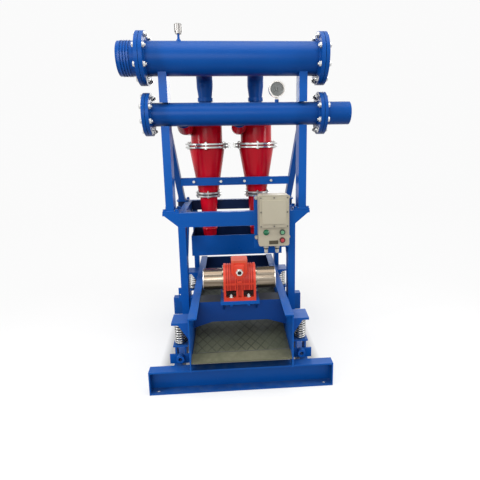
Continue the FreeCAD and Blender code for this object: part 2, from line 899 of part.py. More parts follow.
def vent_valve():
    """Air release valve on a short welded stem."""
    base = overflow_z + overflow_radius - 6.0
    profile = [(0.0, base), (vent_stem_radius + 8.0, base), (vent_stem_radius + 8.0, base + 10.0),
               (vent_stem_radius, base + 22.0),
               (vent_stem_radius, vent_collar_z), (vent_collar_radius, vent_collar_z), (vent_collar_radius,
                       vent_cap_z),
               (vent_cap_radius, vent_cap_z), (vent_cap_radius, vent_top_z - 4.0),
               (vent_cap_radius - 4.0, vent_top_z), (0.0, vent_top_z)]
    solid = turned(profile, (vent_x, overflow_y, 0))
    return solid.cut(rod(overflow_radius, 2.0 * foot_plate, V(vent_x - foot_plate, overflow_y, overflow_z),
                         V(1, 0, 0)))


keep("feed_header", feed_header())
keep("feed_stub", feed_stub())
keep("feed_blind_flange", disc(feed_flange_radius, feed_flange_thick, blind_start, feed_y, feed_z))
keep("overflow_header", overflow_header())
keep("overflow_blind_flange", disc(overflow_flange_radius, overflow_flange_thick, overflow_blind_start,
                                   overflow_y, overflow_z))
keep("hose_nipple", hose_nipple())
keep("flange_gaskets", all_gaskets())
keep("flange_bolts", all_flange_bolts())
keep("riser_left", riser(cyclone_x[0]))
keep("riser_right", riser(cyclone_x[1]))
keep("vent_valve", vent_valve())


# Pressure gauge


def gauge_case():
    y0 = feed_y - gauge_depth / 2.0
    case = rod(gauge_radius, gauge_depth, V(gauge_x, y0, gauge_z), V(0, 1, 0))
    case = case.cut(rod(gauge_radius - gauge_rim, gauge_dial_depth, V(gauge_x, y0, gauge_z), V(0, 1, 0)))
    low = feed_z + feed_radius + gauge_socket_height
    stem = rod(gauge_stem_radius, gauge_z - low, V(gauge_x, feed_y, low), V(0, 0, 1))
    nut = hexagon(2.2 * gauge_stem_radius, 14.0, V(gauge_x, feed_y, low), V(0, 0, 1))
    pin = rod(pointer_pin, gauge_dial_depth - glass_thick - 2.0, V(gauge_x, y0 + glass_thick + 2.0,
              gauge_z), V(0, 1, 0))
    back = rod(gauge_radius, gauge_depth - gauge_dial_depth, V(gauge_x, y0 + gauge_dial_depth, gauge_z),
               V(0, 1, 0))
    return joined(case, back, pin, stem.cut(back), nut)


def gauge_glass():
    return rod(gauge_radius - gauge_rim, glass_thick, V(gauge_x, feed_y - gauge_depth / 2.0, gauge_z),
               V(0, 1, 0))


def gauge_pointer():
    """Needle at rest on zero, at the lower left of the dial."""
    y0 = feed_y - gauge_depth / 2.0 + glass_thick + 5.0
    half = pointer_width / 2.0
    hub = rod(pointer_hub, 4.0, V(gauge_x, y0, gauge_z), V(0, 1, 0))
    outline = [(-half, y0, -pointer_tail), (half, y0, -pointer_tail), (half, y0, 0.0),
               (0.6, y0, pointer_length), (-0.6, y0, pointer_length), (-half, y0, 0.0)]
    needle = plate(outline, (0, pointer_thick, 0))
    needle.rotate(V(0, 0, 0), V(0, 1, 0), -135.0)
    needle.translate(V(gauge_x, 0, gauge_z))
    bore = rod(pointer_pin + 0.1, 6.0, V(gauge_x, y0 - 1.0, gauge_z), V(0, 1, 0))
    return joined(hub, needle).cut(bore)


keep("gauge_case", gauge_case())
keep("gauge_glass", gauge_glass())
keep("gauge_pointer", gauge_pointer())


# Cyclones


def scroll(x, inset):
    """Round inlet that runs past the barrel's side and winds round its back into it."""
    reach = (inlet_offset + head_radius - inlet_radius) / 2.0
    centre = V(x - inlet_offset + reach, cyclone_y, inlet_z)
    start = V(x - inlet_offset, cyclone_y, inlet_z)
    circle = Part.Face(Part.Wire(Part.makeCircle(inlet_radius - inset, start, V(0, 1, 0))))
    return circle.revolve(centre, V(0, 0, -1), 180.0)


def cyclone_head(x):
    """Moulded head: scroll inlet, rim below and flat top round the riser."""
    r = head_radius
    barrel = rod(r, head_top_z - upper_joint_z, V(x, cyclone_y, upper_joint_z), V(0, 0, 1))
    rim = rod(upper_rim_radius, rim_thick, V(x, cyclone_y, upper_joint_z), V(0, 0, 1))
    elbow = V(x - inlet_offset, inlet_elbow_y, inlet_z)
    joint = V(x - inlet_offset, feed_y, feed_z) + branch_direction() * (branch_joint + sleeve_gap)
    slope = elbow - joint
    slope_length = slope.Length
    slope.normalize()

    def nozzle(inset):
        radius = inlet_radius - inset
        first = rod(radius, slope_length, joint, slope)
        ball = Part.makeSphere(radius, elbow)
        second = rod(radius, cyclone_y - inlet_elbow_y, elbow, V(0, 1, 0))
        return first.fuse(ball).fuse(second).fuse(scroll(x, inset))

    collar = rod(head_collar_radius, head_collar_height, V(x, cyclone_y, head_top_z), V(0, 0, 1))
    body = barrel.fuse(rim).fuse(collar).fuse(nozzle(0.0))
    chamber = rod(r - head_wall, head_top_z - upper_joint_z - head_wall, V(x, cyclone_y, upper_joint_z),
                  V(0, 0, 1))
    mouth_start = V(x, cyclone_y, head_top_z - head_wall - 1.0)
    mouth = rod(riser_radius + sleeve_gap, head_wall + head_collar_height + 2.0, mouth_start, V(0, 0, 1))
    return body.cut(chamber).cut(mouth).cut(nozzle(inlet_wall)).removeSplitter()


def cone_shell(x, top_radius, low_radius, top_z, low_z, straight_z, rims):
    """Moulded cone with a rim at each bolted end and a straight bore at its foot."""
    wall = cone_wall
    profile = [(low_radius - wall, low_z), (low_radius, low_z)]
    if straight_z > low_z:
        profile.insert(0, (low_radius - wall, straight_z))
    for radius, z0, z1 in rims:
        share0 = (z0 - low_z) / (top_z - low_z)
        share1 = (z1 - low_z) / (top_z - low_z)
        side0 = low_radius + (top_radius - low_radius) * share0
        side1 = low_radius + (top_radius - low_radius) * share1
        if z0 > low_z:
            profile.append((side0, z0))
        else:
            profile.pop()
        profile.append((radius, z0))
        profile.append((radius, z1))
        if z1 < top_z:
            profile.append((side1, z1))
    if rims[-1][2] < top_z:
        profile.append((top_radius, top_z))
    profile.append((top_radius - wall, top_z))
    return turned(profile, (x, cyclone_y, 0))


def upper_cone(x):
    """Feed cone between the two bolted joints."""
    top = upper_joint_z
    low = lower_joint_z
    rims = [(lower_rim_radius, low, low + rim_thick), (upper_rim_radius, top - rim_thick, top)]
    return cone_shell(x, upper_cone_top_radius, upper_cone_low_radius, top, low, low, rims)


def lower_cone(x):
    """Lower cone, ending in the screwed apex nut."""
    top = lower_joint_z
    rims = [(apex_radius, apex_low_z, apex_top_z), (lower_rim_radius, top - rim_thick, top)]
    shell = cone_shell(x, lower_cone_top_radius, lower_cone_low_radius, top, apex_low_z, apex_top_z, rims)
    span = 2.0 * apex_radius
    tip = box(x - span, x + span, cyclone_y - span, cyclone_y + span, apex_low_z - 1.0, apex_top_z)
    return Part.makeCompound([shell.cut(tip).removeSplitter(), shell.common(tip).removeSplitter()])


def clamp_joint(x, z, radius, bore_low, bore_top, bolt_size, lug_side):
    """Two flat steel rings with bolts right through, clamping two rims."""
    low = z - rim_thick - ring_thick
    top = z + rim_thick
    centre = V(x, cyclone_y, 0)
    pieces = []
    for start, bore in ((low, bore_low), (top, bore_top)):
        pieces.append(tube(radius, bore, ring_thick, centre + V(0, 0, start), V(0, 0, 1)))
    circle = radius - bolt_size * 0.62
    for k in range(ring_bolts):
        turn = math.radians(360.0 * k / ring_bolts - 90.0)
        at = V(x + circle * math.cos(turn), cyclone_y + circle * math.sin(turn), low - ring_bolt_head)
        grip = top + ring_thick - low + ring_bolt_head
        pieces.append(hexagon(bolt_size * 0.52, grip, at, V(0, 0, 1)))
        pieces.append(hexagon(bolt_size, ring_bolt_head, at, V(0, 0, 1)))
        pieces.append(hexagon(bolt_size, ring_bolt_head, at + V(0, 0, grip), V(0, 0, 1)))
    if lug_side:
        a = x + lug_side * (radius - ring_lug_reach / 3.0)
        b = x + lug_side * (radius + ring_lug_reach)
        lug = box(min(a, b), max(a, b), cyclone_y - ring_lug_half, cyclone_y + ring_lug_half,
                  low - ring_lug_stand, top + ring_thick + ring_lug_stand)
        pieces.append(lug)
    return joined(*pieces)


def cyclone_joints(x):
    """Clamp rings of the upper and the lower joint, the upper with its lug."""
    inward = -1.0 if x > 0 else 1.0
    upper = clamp_joint(x, upper_joint_z, upper_ring_radius,
                        upper_cone_radius(upper_joint_z - rim_thick) + ring_ease,
                        head_radius + ring_ease, upper_bolt_size, inward)
    lower = clamp_joint(x, lower_joint_z, lower_ring_radius, lower_cone_top_radius + ring_ease,
                        upper_cone_radius(lower_joint_z + rim_thick + ring_thick) + ring_ease,
                        lower_bolt_size, 0.0)
    return Part.makeCompound([upper, lower])


for side, x in zip(("left", "right"), cyclone_x):
    keep("cyclone_head_" + side, cyclone_head(x))
    keep("upper_cone_" + side, upper_cone(x))
    keep("lower_cone_" + side, lower_cone(x))
    keep("clamp_rings_" + side, cyclone_joints(x))


# Underflow hopper


def funnel(lift):
    """Solid between the hopper's inside and its mouth, raised by a lift."""
    low = hopper_low_z + hopper_slope_low
    half = hopper_half - hopper_wall / 2.0
    front = hopper_front_y + hopper_wall / 2.0
    back = hopper_back_y - hopper_wall / 2.0
    rims = []
    for x, y0, y1, z in ((hopper_mouth_half, hopper_mouth_front, hopper_mouth_back, low),
                         (half, front, back, low + hopper_slope_height)):
        corners = [V(-x, y0, z + lift), V(x, y0, z + lift), V(x, y1, z + lift), V(-x, y1, z + lift)]
        rims.append(Part.makePolygon(corners + [corners[0]]))
    return Part.makeLoft(rims, True, True)


def underflow_hopper():
    """Open box with a sloping bottom and its mouth over the back of the screen."""
    w = hopper_wall
    shell = box(-hopper_half, hopper_half, hopper_front_y, hopper_back_y, hopper_low_z, hopper_top_z)
    shell = shell.cut(box(-hopper_half + w, hopper_half - w, hopper_front_y + w, hopper_back_y - w,
                          hopper_low_z - 1.0, hopper_top_z + 1.0))
    slope = funnel(0.0).cut(funnel(1.3 * w))
    mouth = box(-hopper_mouth_half + w, hopper_mouth_half - w, hopper_mouth_front + w,
                hopper_mouth_back - w, hopper_low_z, hopper_top_z)
    return joined(shell, slope.cut(mouth))


keep("underflow_hopper", underflow_hopper())


# Vibrating basket: walls, cross pieces and screens


def on_deck(shape):
    """Piece drawn level, then tilted with the deck and set at its front edge."""
    shape.rotate(V(0, 0, 0), V(1, 0, 0), deck_angle)
    shape.translate(V(0, deck_front_y, deck_front_z))
    return shape


def spring_bracket(y):
    """Shelf over a spring, with a front lip, a guide pin and a slanting gusset."""
    x0 = wall_outer_x
    x1 = x0 + bracket_reach
    y0 = y - bracket_half
    top = spring_top_z + bracket_plate
    shelf = box(x0, x1, y0, y + bracket_half, spring_top_z, top)
    lip = box(x0, x1, y0, y0 + bracket_plate, top - bracket_lip, top)
    outline = [(x0, y0, spring_top_z), (x0 + bracket_gusset_reach, y0, spring_top_z),
               (x0, y0, spring_top_z - bracket_gusset_drop)]
    gusset = plate(outline, (0, bracket_plate, 0))
    guide = rod(pin_radius, pin_height, V(spring_x, y, spring_top_z - pin_height), V(0, 0, 1))
    return [shelf, lip, gusset, guide]


def basket_wall():
    """Side plate with its top flange, the screen's ledge and two spring brackets."""
    side = box(wall_inner_x, wall_outer_x, wall_front_y, wall_back_y, wall_low_z, wall_top_z)
    flange = box(wall_outer_x - wall_flange, wall_outer_x, wall_front_y, wall_back_y,
                 wall_top_z - wall_flange_thick, wall_top_z)
    t = ledge_wall
    low = -screen_thick - ledge_height
    ledge = box(wall_inner_x - ledge_width, wall_inner_x, 0.0, deck_length, low, -screen_thick)
    ledge = ledge.cut(box(wall_inner_x - ledge_width + t, wall_inner_x - t, -1.0, deck_length + 1.0,
                          low + t, -screen_thick - t))
    pieces = [flange, on_deck(ledge)]
    for y in spring_y:
        pieces += spring_bracket(y)
    return joined(side, *pieces)


def basket_rear_plate():
    return box(-wall_inner_x, wall_inner_x, wall_back_y - wall_thick, wall_back_y, rear_plate_low_z,
               wall_top_z - wall_flange_thick)


def foot_bolt_places():
    """Middle of each motor foot bolt, in plan."""
    return [(sx * motor_bolt_x, motor_y + sy * motor_bolt_y) for sx in (-1.0, 1.0) for sy in (-1.0, 1.0)]


def cross_beam(walls):
    """Box beam between the walls, flared at its ends, with the motor's seat."""
    w = beam_wall
    y0 = beam_front_y
    y1 = beam_front_y + beam_depth
    beam = box(-wall_inner_x, wall_inner_x, y0, y1, beam_low_z, beam_top_z)
    beam = beam.cut(box(-wall_inner_x - 1.0, wall_inner_x + 1.0, y0 + w, y1 - w, beam_low_z + w,
                        beam_top_z - w))
    pieces = [box(-seat_half, seat_half, seat_front_y, seat_back_y, beam_top_z, seat_top_z)]
    for side in (-1.0, 1.0):
        x_wall = side * wall_inner_x
        for y in (y0, y1 - w):
            outline = [(x_wall, y, beam_low_z), (x_wall - side * flare_length, y, beam_low_z),
                       (x_wall, y, beam_low_z - flare_drop)]
            pieces.append(plate(outline, (0, w, 0)))
        x = side * seat_rib_x
        for edge, face in ((seat_front_y + seat_rib_thick, y0), (seat_back_y - seat_rib_thick, y1)):
            outline = [(x, edge, beam_top_z), (x, face, beam_top_z),
                       (x, face, beam_top_z - seat_rib_height)]
            pieces.append(plate(outline, (side * seat_rib_thick, 0, 0)))
    for x, y in foot_bolt_places():
        pieces.append(hexagon(foot_bolt_size, foot_bolt_height, V(x, y, beam_top_z - foot_bolt_height),
                              V(0, 0, 1)))
    body = joined(beam, *pieces)
    for wall in walls:
        body = body.cut(wall)
    return body


def screen_panel(start):
    """Steel frame with pockets below and a sheet of mesh on top."""
    half = wall_inner_x - screen_gap
    length = (deck_length - screen_gap) / 2.0
    panel = box(-half, half, start, start + length, -screen_thick, 0.0)
    across = (2.0 * half - 2.0 * screen_border - (screen_cells - 1) * screen_rib) / screen_cells
    along = (length - 2.0 * screen_border - (screen_cells - 1) * screen_rib) / screen_cells
    pockets = []
    for i in range(screen_cells):
        for k in range(screen_cells):
            x = -half + screen_border + i * (across + screen_rib)
            y = start + screen_border + k * (along + screen_rib)
            pockets.append(box(x, x + across, y, y + along, -screen_thick - 1.0, -screen_sheet))
    return on_deck(panel.cut(Part.makeCompound(pockets)))


def discharge_lip():
    """Plate from the screen's front edge down to the end of the basket."""
    y1 = deck_front_y - lip_gap
    y0 = y1 - lip_length
    z = deck_front_z
    outline = [(-wall_inner_x, y1, z), (-wall_inner_x, y0, z - lip_drop),
               (-wall_inner_x, y0, z - lip_drop - lip_thick), (-wall_inner_x, y1, z - lip_thick)]
    return plate(outline, (2.0 * wall_inner_x, 0, 0))


right_wall = basket_wall()
left_wall = mirrored(right_wall)
keep("basket_wall_right", right_wall)
keep("basket_wall_left", left_wall)
keep("basket_rear_plate", basket_rear_plate())
keep("basket_cross_beam", cross_beam((right_wall, left_wall)))
keep("screen_panels",
     Part.makeCompound([screen_panel(0.0), screen_panel((deck_length + screen_gap) / 2.0)]))
keep("discharge_lip", discharge_lip())


# Vibrator motor


def lathe_x(profile):
    """Solid of revolution about the motor's axis from (radius, x) pairs."""
    solid = turned(profile, (0, 0, 0))
    solid.Placement = FreeCAD.Placement(V(0, motor_y, motor_axis_z), FreeCAD.Rotation(V(0, 0, 1),
                                        V(1, 0, 0)))
    return solid


def about_motor(x0, x1, reach_front, reach_back, z0, z1):
    """Block measured across the motor from its axis."""
    return box(x0, x1, motor_y - reach_front, motor_y + reach_back, z0, z1)


def terminal_block(inset, z0, z1):
    """Block with cut corners, the plan of the cable box."""
    c = terminal_corner
    x = box_half_x - inset
    y0 = terminal_front_y + inset
    y1 = terminal_back_y - inset
    outline = [(-x + c, y0, z0), (x - c, y0, z0), (x, y0 + c, z0), (x, y1 - c, z0), (x - c, y1, z0),
               (-x + c, y1, z0), (-x, y1 - c, z0), (-x, y0 + c, z0)]
    return plate(outline, (0, 0, z1 - z0))


def motor_casing():
    """Cast body: barrel, arched end plates, foot with bolt pockets, cable box."""
    half = motor_half
    inner = half - bearing_width
    edge = half - motor_end_plate
    foot_top = seat_top_z + motor_foot_height
    block_low = foot_top + motor_pocket_height
    barrel = rod(motor_radius, 2.0 * half, V(-half, motor_y, motor_axis_z), V(1, 0, 0))
    pieces = [about_motor(-half, half, motor_foot_half, motor_foot_half, seat_top_z, foot_top)]
    pieces.append(about_motor(-edge, edge, motor_block_half, motor_block_half, block_low, motor_axis_z))
    pieces.append(about_motor(-edge, edge, motor_core_half, motor_core_half, foot_top, block_low))
    pieces.append(about_motor(-motor_web_half, motor_web_half, motor_block_half, motor_block_half, foot_top,
                              block_low))
    for x in (-half, edge):
        pieces.append(rod(motor_arch_radius, motor_end_plate, V(x, motor_y, motor_axis_z), V(1, 0, 0)))
        pieces.append(about_motor(x, x + motor_end_plate, motor_foot_half, motor_foot_half, seat_top_z,
                                  motor_axis_z))
    pieces.append(terminal_block(0.0, terminal_low_z, terminal_top_z))
    body = joined(barrel, *pieces)
    for reach in (-1.0, 1.0):
        y = motor_y + reach * motor_block_half
        groove = motor_web_half / 2.0
        body = body.cut(box(-groove, groove, min(y, y - reach * groove), max(y, y - reach * groove),
                            foot_top, block_low))
    body = body.cut(lathe_x([(0.0, -inner), (motor_bore, -inner), (motor_bore, inner), (0.0, inner)]))
    body = body.cut(rod(bearing_radius, 2.0 * half + 2.0, V(-half - 1.0, motor_y, motor_axis_z),
                        V(1, 0, 0)))
    body = body.cut(terminal_block(terminal_wall, motor_axis_z + motor_radius + terminal_wall / 2.0,
                                   terminal_top_z + 1.0))
    inlet = V(0, terminal_front_y, gland_z)
    body = body.cut(rod(gland_bore, terminal_wall + 22.0, inlet, V(0, 1, 0)))
    body = body.cut(box(-gland_bore, gland_bore, terminal_front_y + terminal_wall,
                        terminal_front_y + terminal_wall + 20.0, gland_z, terminal_top_z + 1.0))
    bolts = []
    for x, y in foot_bolt_places():
        bolts.append(hexagon(foot_bolt_size, foot_bolt_height, V(x, y, foot_top), V(0, 0, 1)))
    return joined(body, *bolts)


def motor_end_covers():
    """Thin closed cup over each end's weights, with the end plate's bolts."""
    made = []
    for side in (-1.0, 1.0):
        a = side * motor_half
        b = side * (motor_half + cover_length)
        t = side * cover_wall
        profile = [(0.0, b), (cover_radius, b), (cover_radius, a + side * cover_rim_thick),
                   (cover_rim, a + side * cover_rim_thick),
                   (cover_rim, a), (cover_radius - cover_wall, a), (cover_radius - cover_wall, b - t),
                   (0.0, b - t)]
        made.append(lathe_x(profile))
        for k in range(cover_bolts):
            turn = math.radians(360.0 * (k + 0.5) / cover_bolts)
            at = V(a, motor_y + cover_bolt_circle * math.cos(turn),
                   motor_axis_z + cover_bolt_circle * math.sin(turn))
            made.append(hexagon(cover_screw_size, cover_screw_height, at, V(side, 0, 0)))
    return Part.makeCompound(made)


def motor_rotor():
    """Shaft with the rotor core and a half-round weight near each end."""
    shaft = rod(shaft_radius, 2.0 * shaft_half, V(-shaft_half, motor_y, motor_axis_z), V(1, 0, 0))
    core = rod(rotor_radius, 2.0 * rotor_half, V(-rotor_half, motor_y, motor_axis_z), V(1, 0, 0))
    pieces = [core]
    for side in (-1.0, 1.0):
        start = side * weight_x if side > 0 else side * (weight_x + weight_thick)
        disc_whole = rod(weight_radius, weight_thick, V(start, motor_y, motor_axis_z), V(1, 0, 0))
        upper = box(start - 1.0, start + weight_thick + 1.0, motor_y - 2.0 * weight_radius,
                    motor_y + 2.0 * weight_radius, motor_axis_z, motor_axis_z + weight_radius + 1.0)
        hub = rod(weight_hub, weight_thick, V(start, motor_y, motor_axis_z), V(1, 0, 0))
        pieces.append(disc_whole.cut(upper).fuse(hub))
    return joined(shaft, *pieces)


def motor_stator():
    """Stator core and the two bearings, pressed into the casing."""
    made = [tube(motor_bore, rotor_radius + rotor_gap, 2.0 * stator_half,
                 V(-stator_half, motor_y, motor_axis_z), V(1, 0, 0))]
    for x in (-motor_half, motor_half - bearing_width):
        made.append(tube(bearing_radius, shaft_radius + sleeve_gap, bearing_width,
                         V(x, motor_y, motor_axis_z), V(1, 0, 0)))
    return Part.makeCompound(made)


def motor_gland():
    """Cable inlet screwed into the front of the cable box."""
    start = V(0, terminal_front_y, gland_z)
    body = hexagon(2.0 * gland_radius * 0.9, gland_length * 0.6, start, V(0, -1, 0))
    nose = rod(gland_radius * 0.82, gland_length, start, V(0, -1, 0))
    return joined(body, nose).cut(rod(gland_bore, gland_length + 2.0, V(0, terminal_front_y + 1.0, gland_z),
                                      V(0, -1, 0)))


keep("motor_casing", motor_casing())
keep("motor_end_covers", motor_end_covers())
keep("motor_rotor", motor_rotor())
keep("motor_stator", motor_stator())
keep("motor_terminal_cover", terminal_block(0.0, terminal_top_z, terminal_top_z + lid_thick))
keep("motor_gland", motor_gland())


# Springs


def coil_spring():
    """Open coil between two closed and ground end turns."""
    ring = 2.0 * spring_wire
    rise = spring_top_z - spring_low_z - ring
    low = V(0, 0, spring_low_z + spring_wire)
    helix = Part.makeHelix(rise / spring_turns, rise, spring_radius)
    helix.translate(low)
    across = spring_wire * 1.15
    corners = []
    for k in range(spring_wire_sides):
        turn = 2.0 * math.pi * (k + 0.5) / spring_wire_sides
        corners.append(low + V(spring_radius + across * math.cos(turn), 0, across * math.sin(turn)))
    section = Part.makePolygon(corners + [corners[0]])
    coil = Part.Wire(helix).makePipeShell([section], True, True)
    ends = []
    for z in (spring_low_z, spring_top_z - ring):
        ends.append(tube(spring_radius + spring_wire, spring_radius - spring_wire, ring, V(0, 0, z),
                         V(0, 0, 1)))
    return coil.multiFuse(ends)


def all_springs():
    one = coil_spring()
    made = []
    for x in (-spring_x, spring_x):
        for y in spring_y:
            copy = one.copy()
            copy.translate(V(x, y, 0))
            made.append(copy)
    return Part.makeCompound(made)


keep("springs", all_springs())


# Control box


def lathe_front(profile, x, z):
    """Solid of revolution that stands out of the box's front face."""
    solid = turned(profile, (0, 0, 0))
    solid.Placement = FreeCAD.Placement(V(x, box_front_y, z), FreeCAD.Rotation(V(0, 0, 1), V(0, -1, 0)))
    return solid


def box_housing():
    """Cast box: cover opening above, button face below, an ear at each corner."""
    w = box_wall
    body = box(box_left_x, box_right_x, box_front_y, box_back_y, box_low_z, box_top_z)
    body = body.makeFillet(box_corner,
                           [e for e in body.Edges if abs(e.Vertexes[0].Y - e.Vertexes[1].Y) > 1.0])
    body = body.cut(box(box_left_x + w, box_right_x - w, box_front_y + w, box_back_y - w, box_low_z + w,
                        box_top_z - w))
    m = cover_margin + cover_land
    body = body.cut(box(box_left_x + m, box_right_x - m, box_front_y - 1.0, box_front_y + w + 1.0,
                        cover_low_z + cover_land, box_top_z - m))
    pieces = []
    for x in (box_left_x - ear_out, box_right_x + ear_out):
        for z in ear_z:
            pieces.append(rod(ear_radius, ear_thick + box_foot_height, V(x, box_back_y - ear_thick, z),
                              V(0, 1, 0)))
            pieces.append(hexagon(ear_bolt_size, cover_bolt_height,
                                  V(x, box_back_y - ear_thick - cover_bolt_height, z), V(0, 1, 0)))
    for z in (start_z, stop_z):
        pieces.append(rod(button_ring_radius, button_ring_height, V(button_x, box_front_y, z), V(0, -1, 0)))
    pieces.append(box(label_left_x, label_right_x, box_front_y - label_thick, box_front_y, label_low_z,
                      label_top_z))
    body = joined(body, *pieces)
    for z in (start_z, stop_z):
        hole = V(button_x, box_front_y - button_ring_height - 1.0, z)
        body = body.cut(rod(button_radius + button_clearance, button_ring_height + w + 2.0, hole,
                            V(0, 1, 0)))
    body = body.cut(rod(lamp_spigot + button_clearance, w + 2.0, V(lamp_x, box_front_y - 1.0, lamp_z),
                        V(0, 1, 0)))
    for x in gland_x:
        body = body.cut(rod(box_gland_bore, w + 2.0, V(x, (box_front_y + box_back_y) / 2.0,
                                                       box_low_z - 1.0), V(0, 0, 1)))
    return body


def box_cover():
    """Flat cover with a raised panel and eight bolts."""
    m = cover_margin
    x0 = box_left_x + m
    x1 = box_right_x - m
    z0 = cover_low_z
    z1 = box_top_z - m
    front = box_front_y - cover_plate
    flat = box(x0, x1, front, box_front_y, z0, z1)
    raised = box(x0 + cover_step_x, x1 - cover_step_x, front - cover_raise, front, z0 + cover_step_z,
                 z1 - cover_step_z)
    pieces = [raised]
    for i in range(3):
        for k in range(3):
            if i == 1 and k == 1:
                continue
            x = x0 + cover_bolt_inset + i * (x1 - x0 - 2.0 * cover_bolt_inset) / 2.0
            z = z0 + cover_bolt_inset + k * (z1 - z0 - 2.0 * cover_bolt_inset) / 2.0
            pieces.append(hexagon(cover_bolt_size, cover_bolt_height, V(x, front, z), V(0, -1, 0)))
    return joined(flat, *pieces)


def push_button(z):
    """Button with a collar behind the box's wall that keeps it in."""
    stand = button_ring_height + button_stand
    collar = button_radius + 3.0
    profile = [(0.0, stand), (button_radius - 1.5, stand), (button_radius, stand - 1.5),
               (button_radius, -box_wall),
               (collar, -box_wall), (collar, -box_wall - 3.0), (0.0, -box_wall - 3.0)]
    return lathe_front(profile, button_x, z)


def box_lamp():
    """Lamp glass with a spigot through the box's wall."""
    r = lamp_radius
    profile = [(0.0, 0.8 * r), (0.45 * r, 0.7 * r), (0.8 * r, 0.45 * r), (r, 0.2 * r), (r, 0.0),
               (lamp_spigot, 0.0), (lamp_spigot, -box_wall - 2.0), (0.0, -box_wall - 2.0)]
    return lathe_front(profile, lamp_x, lamp_z)


def box_glands():
    """Two cable inlets under the box, without their cables."""
    made = []
    for x in gland_x:
        r = box_gland_radius
        drop = box_gland_length
        profile = [(box_gland_bore, 0.0), (r, 0.0), (r, -0.4 * drop), (0.78 * r, -0.55 * drop),
                   (0.78 * r, -0.85 * drop), (0.62 * r, -drop), (box_gland_bore, -drop)]
        made.append(turned(profile, (x, (box_front_y + box_back_y) / 2.0, box_low_z)))
    return Part.makeCompound(made)


bracket_back_y = front_post_y
keep("box_bracket", box(bracket_left_x, bracket_right_x, bracket_back_y - bracket_sheet, bracket_back_y,
                        bracket_low_z, bracket_top_z))
keep("box_housing", box_housing())
keep("box_cover", box_cover())
keep("box_lamp", box_lamp())
keep("box_start_button", push_button(start_z))
keep("box_stop_button", push_button(stop_z))
keep("box_glands", box_glands())

os.makedirs("parts", exist_ok=True)
for name, shape in save_list:
    save(name, shape)
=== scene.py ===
"""A two-cone desander with its vibrating screen, dressed over its solid parts."""
import math

import bmesh
import bpy
import numpy as np
from mathutils import Matrix, Vector


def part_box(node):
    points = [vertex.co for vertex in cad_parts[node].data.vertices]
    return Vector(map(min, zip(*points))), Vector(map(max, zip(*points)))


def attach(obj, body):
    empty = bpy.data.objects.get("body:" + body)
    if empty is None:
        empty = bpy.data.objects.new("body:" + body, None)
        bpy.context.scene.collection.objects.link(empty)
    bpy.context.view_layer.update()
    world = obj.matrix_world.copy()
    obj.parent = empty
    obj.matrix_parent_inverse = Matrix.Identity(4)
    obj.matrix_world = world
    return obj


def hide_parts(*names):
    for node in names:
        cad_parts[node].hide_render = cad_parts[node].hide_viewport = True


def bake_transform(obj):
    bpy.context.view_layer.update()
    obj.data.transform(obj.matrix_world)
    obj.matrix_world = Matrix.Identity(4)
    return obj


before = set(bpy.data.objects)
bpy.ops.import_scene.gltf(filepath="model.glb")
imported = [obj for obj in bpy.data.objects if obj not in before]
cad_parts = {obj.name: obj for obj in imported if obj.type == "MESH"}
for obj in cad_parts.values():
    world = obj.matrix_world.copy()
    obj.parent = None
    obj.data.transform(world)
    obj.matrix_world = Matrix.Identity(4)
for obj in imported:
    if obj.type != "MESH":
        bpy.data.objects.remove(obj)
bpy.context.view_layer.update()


# Skid, posts, platform and braces
# Rolled channels and plate, welded into one frame and sprayed with a glossy
# blue enamel. The enamel has a faint orange peel, thin patches and some dust.

FRAME_STEEL = ["skid_front_rail", "skid_rear_rail", "skid_sill_left", "skid_sill_right",
               "front_post_left", "front_post_right", "rear_post_left", "rear_post_right",
               "platform_front_beam", "platform_side_beam_left", "platform_side_beam_right",
               "upper_post_left", "upper_post_right", "brace_left", "brace_right", "box_bracket"]


def feed(tree, node, values):
    """Link other nodes' outputs to a node's inputs, or set its inputs to plain values."""
    for key, value in values.items():
        if isinstance(value, bpy.types.NodeSocket):
            tree.links.new(value, node.inputs[key])
        else:
            node.inputs[key].default_value = value


def new_node(tree, kind, values, **settings):
    """Shader node of one kind with its settings and inputs, in the editor's next free
    place with six nodes to a column."""
    column, row = divmod(len(tree.nodes), 6)
    made = tree.nodes.new(kind)
    made.location = (220.0 * column, -220.0 * row)
    for key, value in settings.items():
        setattr(made, key, value)
    feed(tree, made, values)
    return made


def noise_on(tree, vector, scale, detail, rough=0.55):
    """Noise read from the piece's own coordinates."""
    values = {"Vector": vector, "Scale": scale, "Detail": detail, "Roughness": rough}
    return new_node(tree, "ShaderNodeTexNoise", values).outputs["Fac"]


def ranged(tree, value, low, high, to_low, to_high):
    """Value stretched from one range to another, and held at its ends."""
    values = {"Value": value, "From Min": low, "From Max": high, "To Min": to_low, "To Max": to_high}
    return new_node(tree, "ShaderNodeMapRange", values, clamp=True).outputs["Result"]


def sum_of(tree, first, second, how):
    """Two values, or a value and a number, put together by one sum."""
    return new_node(tree, "ShaderNodeMath", {0: first, 1: second}, operation=how).outputs["Value"]


def size_of(tree, value):
    """Size of a value without its sign."""
    return new_node(tree, "ShaderNodeMath", {0: value}, operation="ABSOLUTE").outputs["Value"]


def stretched(tree, vector, shares):
    """Coordinates times one share for each axis."""
    return new_node(tree, "ShaderNodeVectorMath", {0: vector, 1: shares}, operation="MULTIPLY").outputs[0]


def blended(tree, mask, first, second):
    """Colour that goes from the first to the second as the mask rises."""
    first, second = [(*c, 1.0) if isinstance(c, tuple) else c for c in (first, second)]
    values = {"Factor": mask, 6: first, 7: second}
    return new_node(tree, "ShaderNodeMix", values, data_type="RGBA", clamp_factor=True).outputs[2]


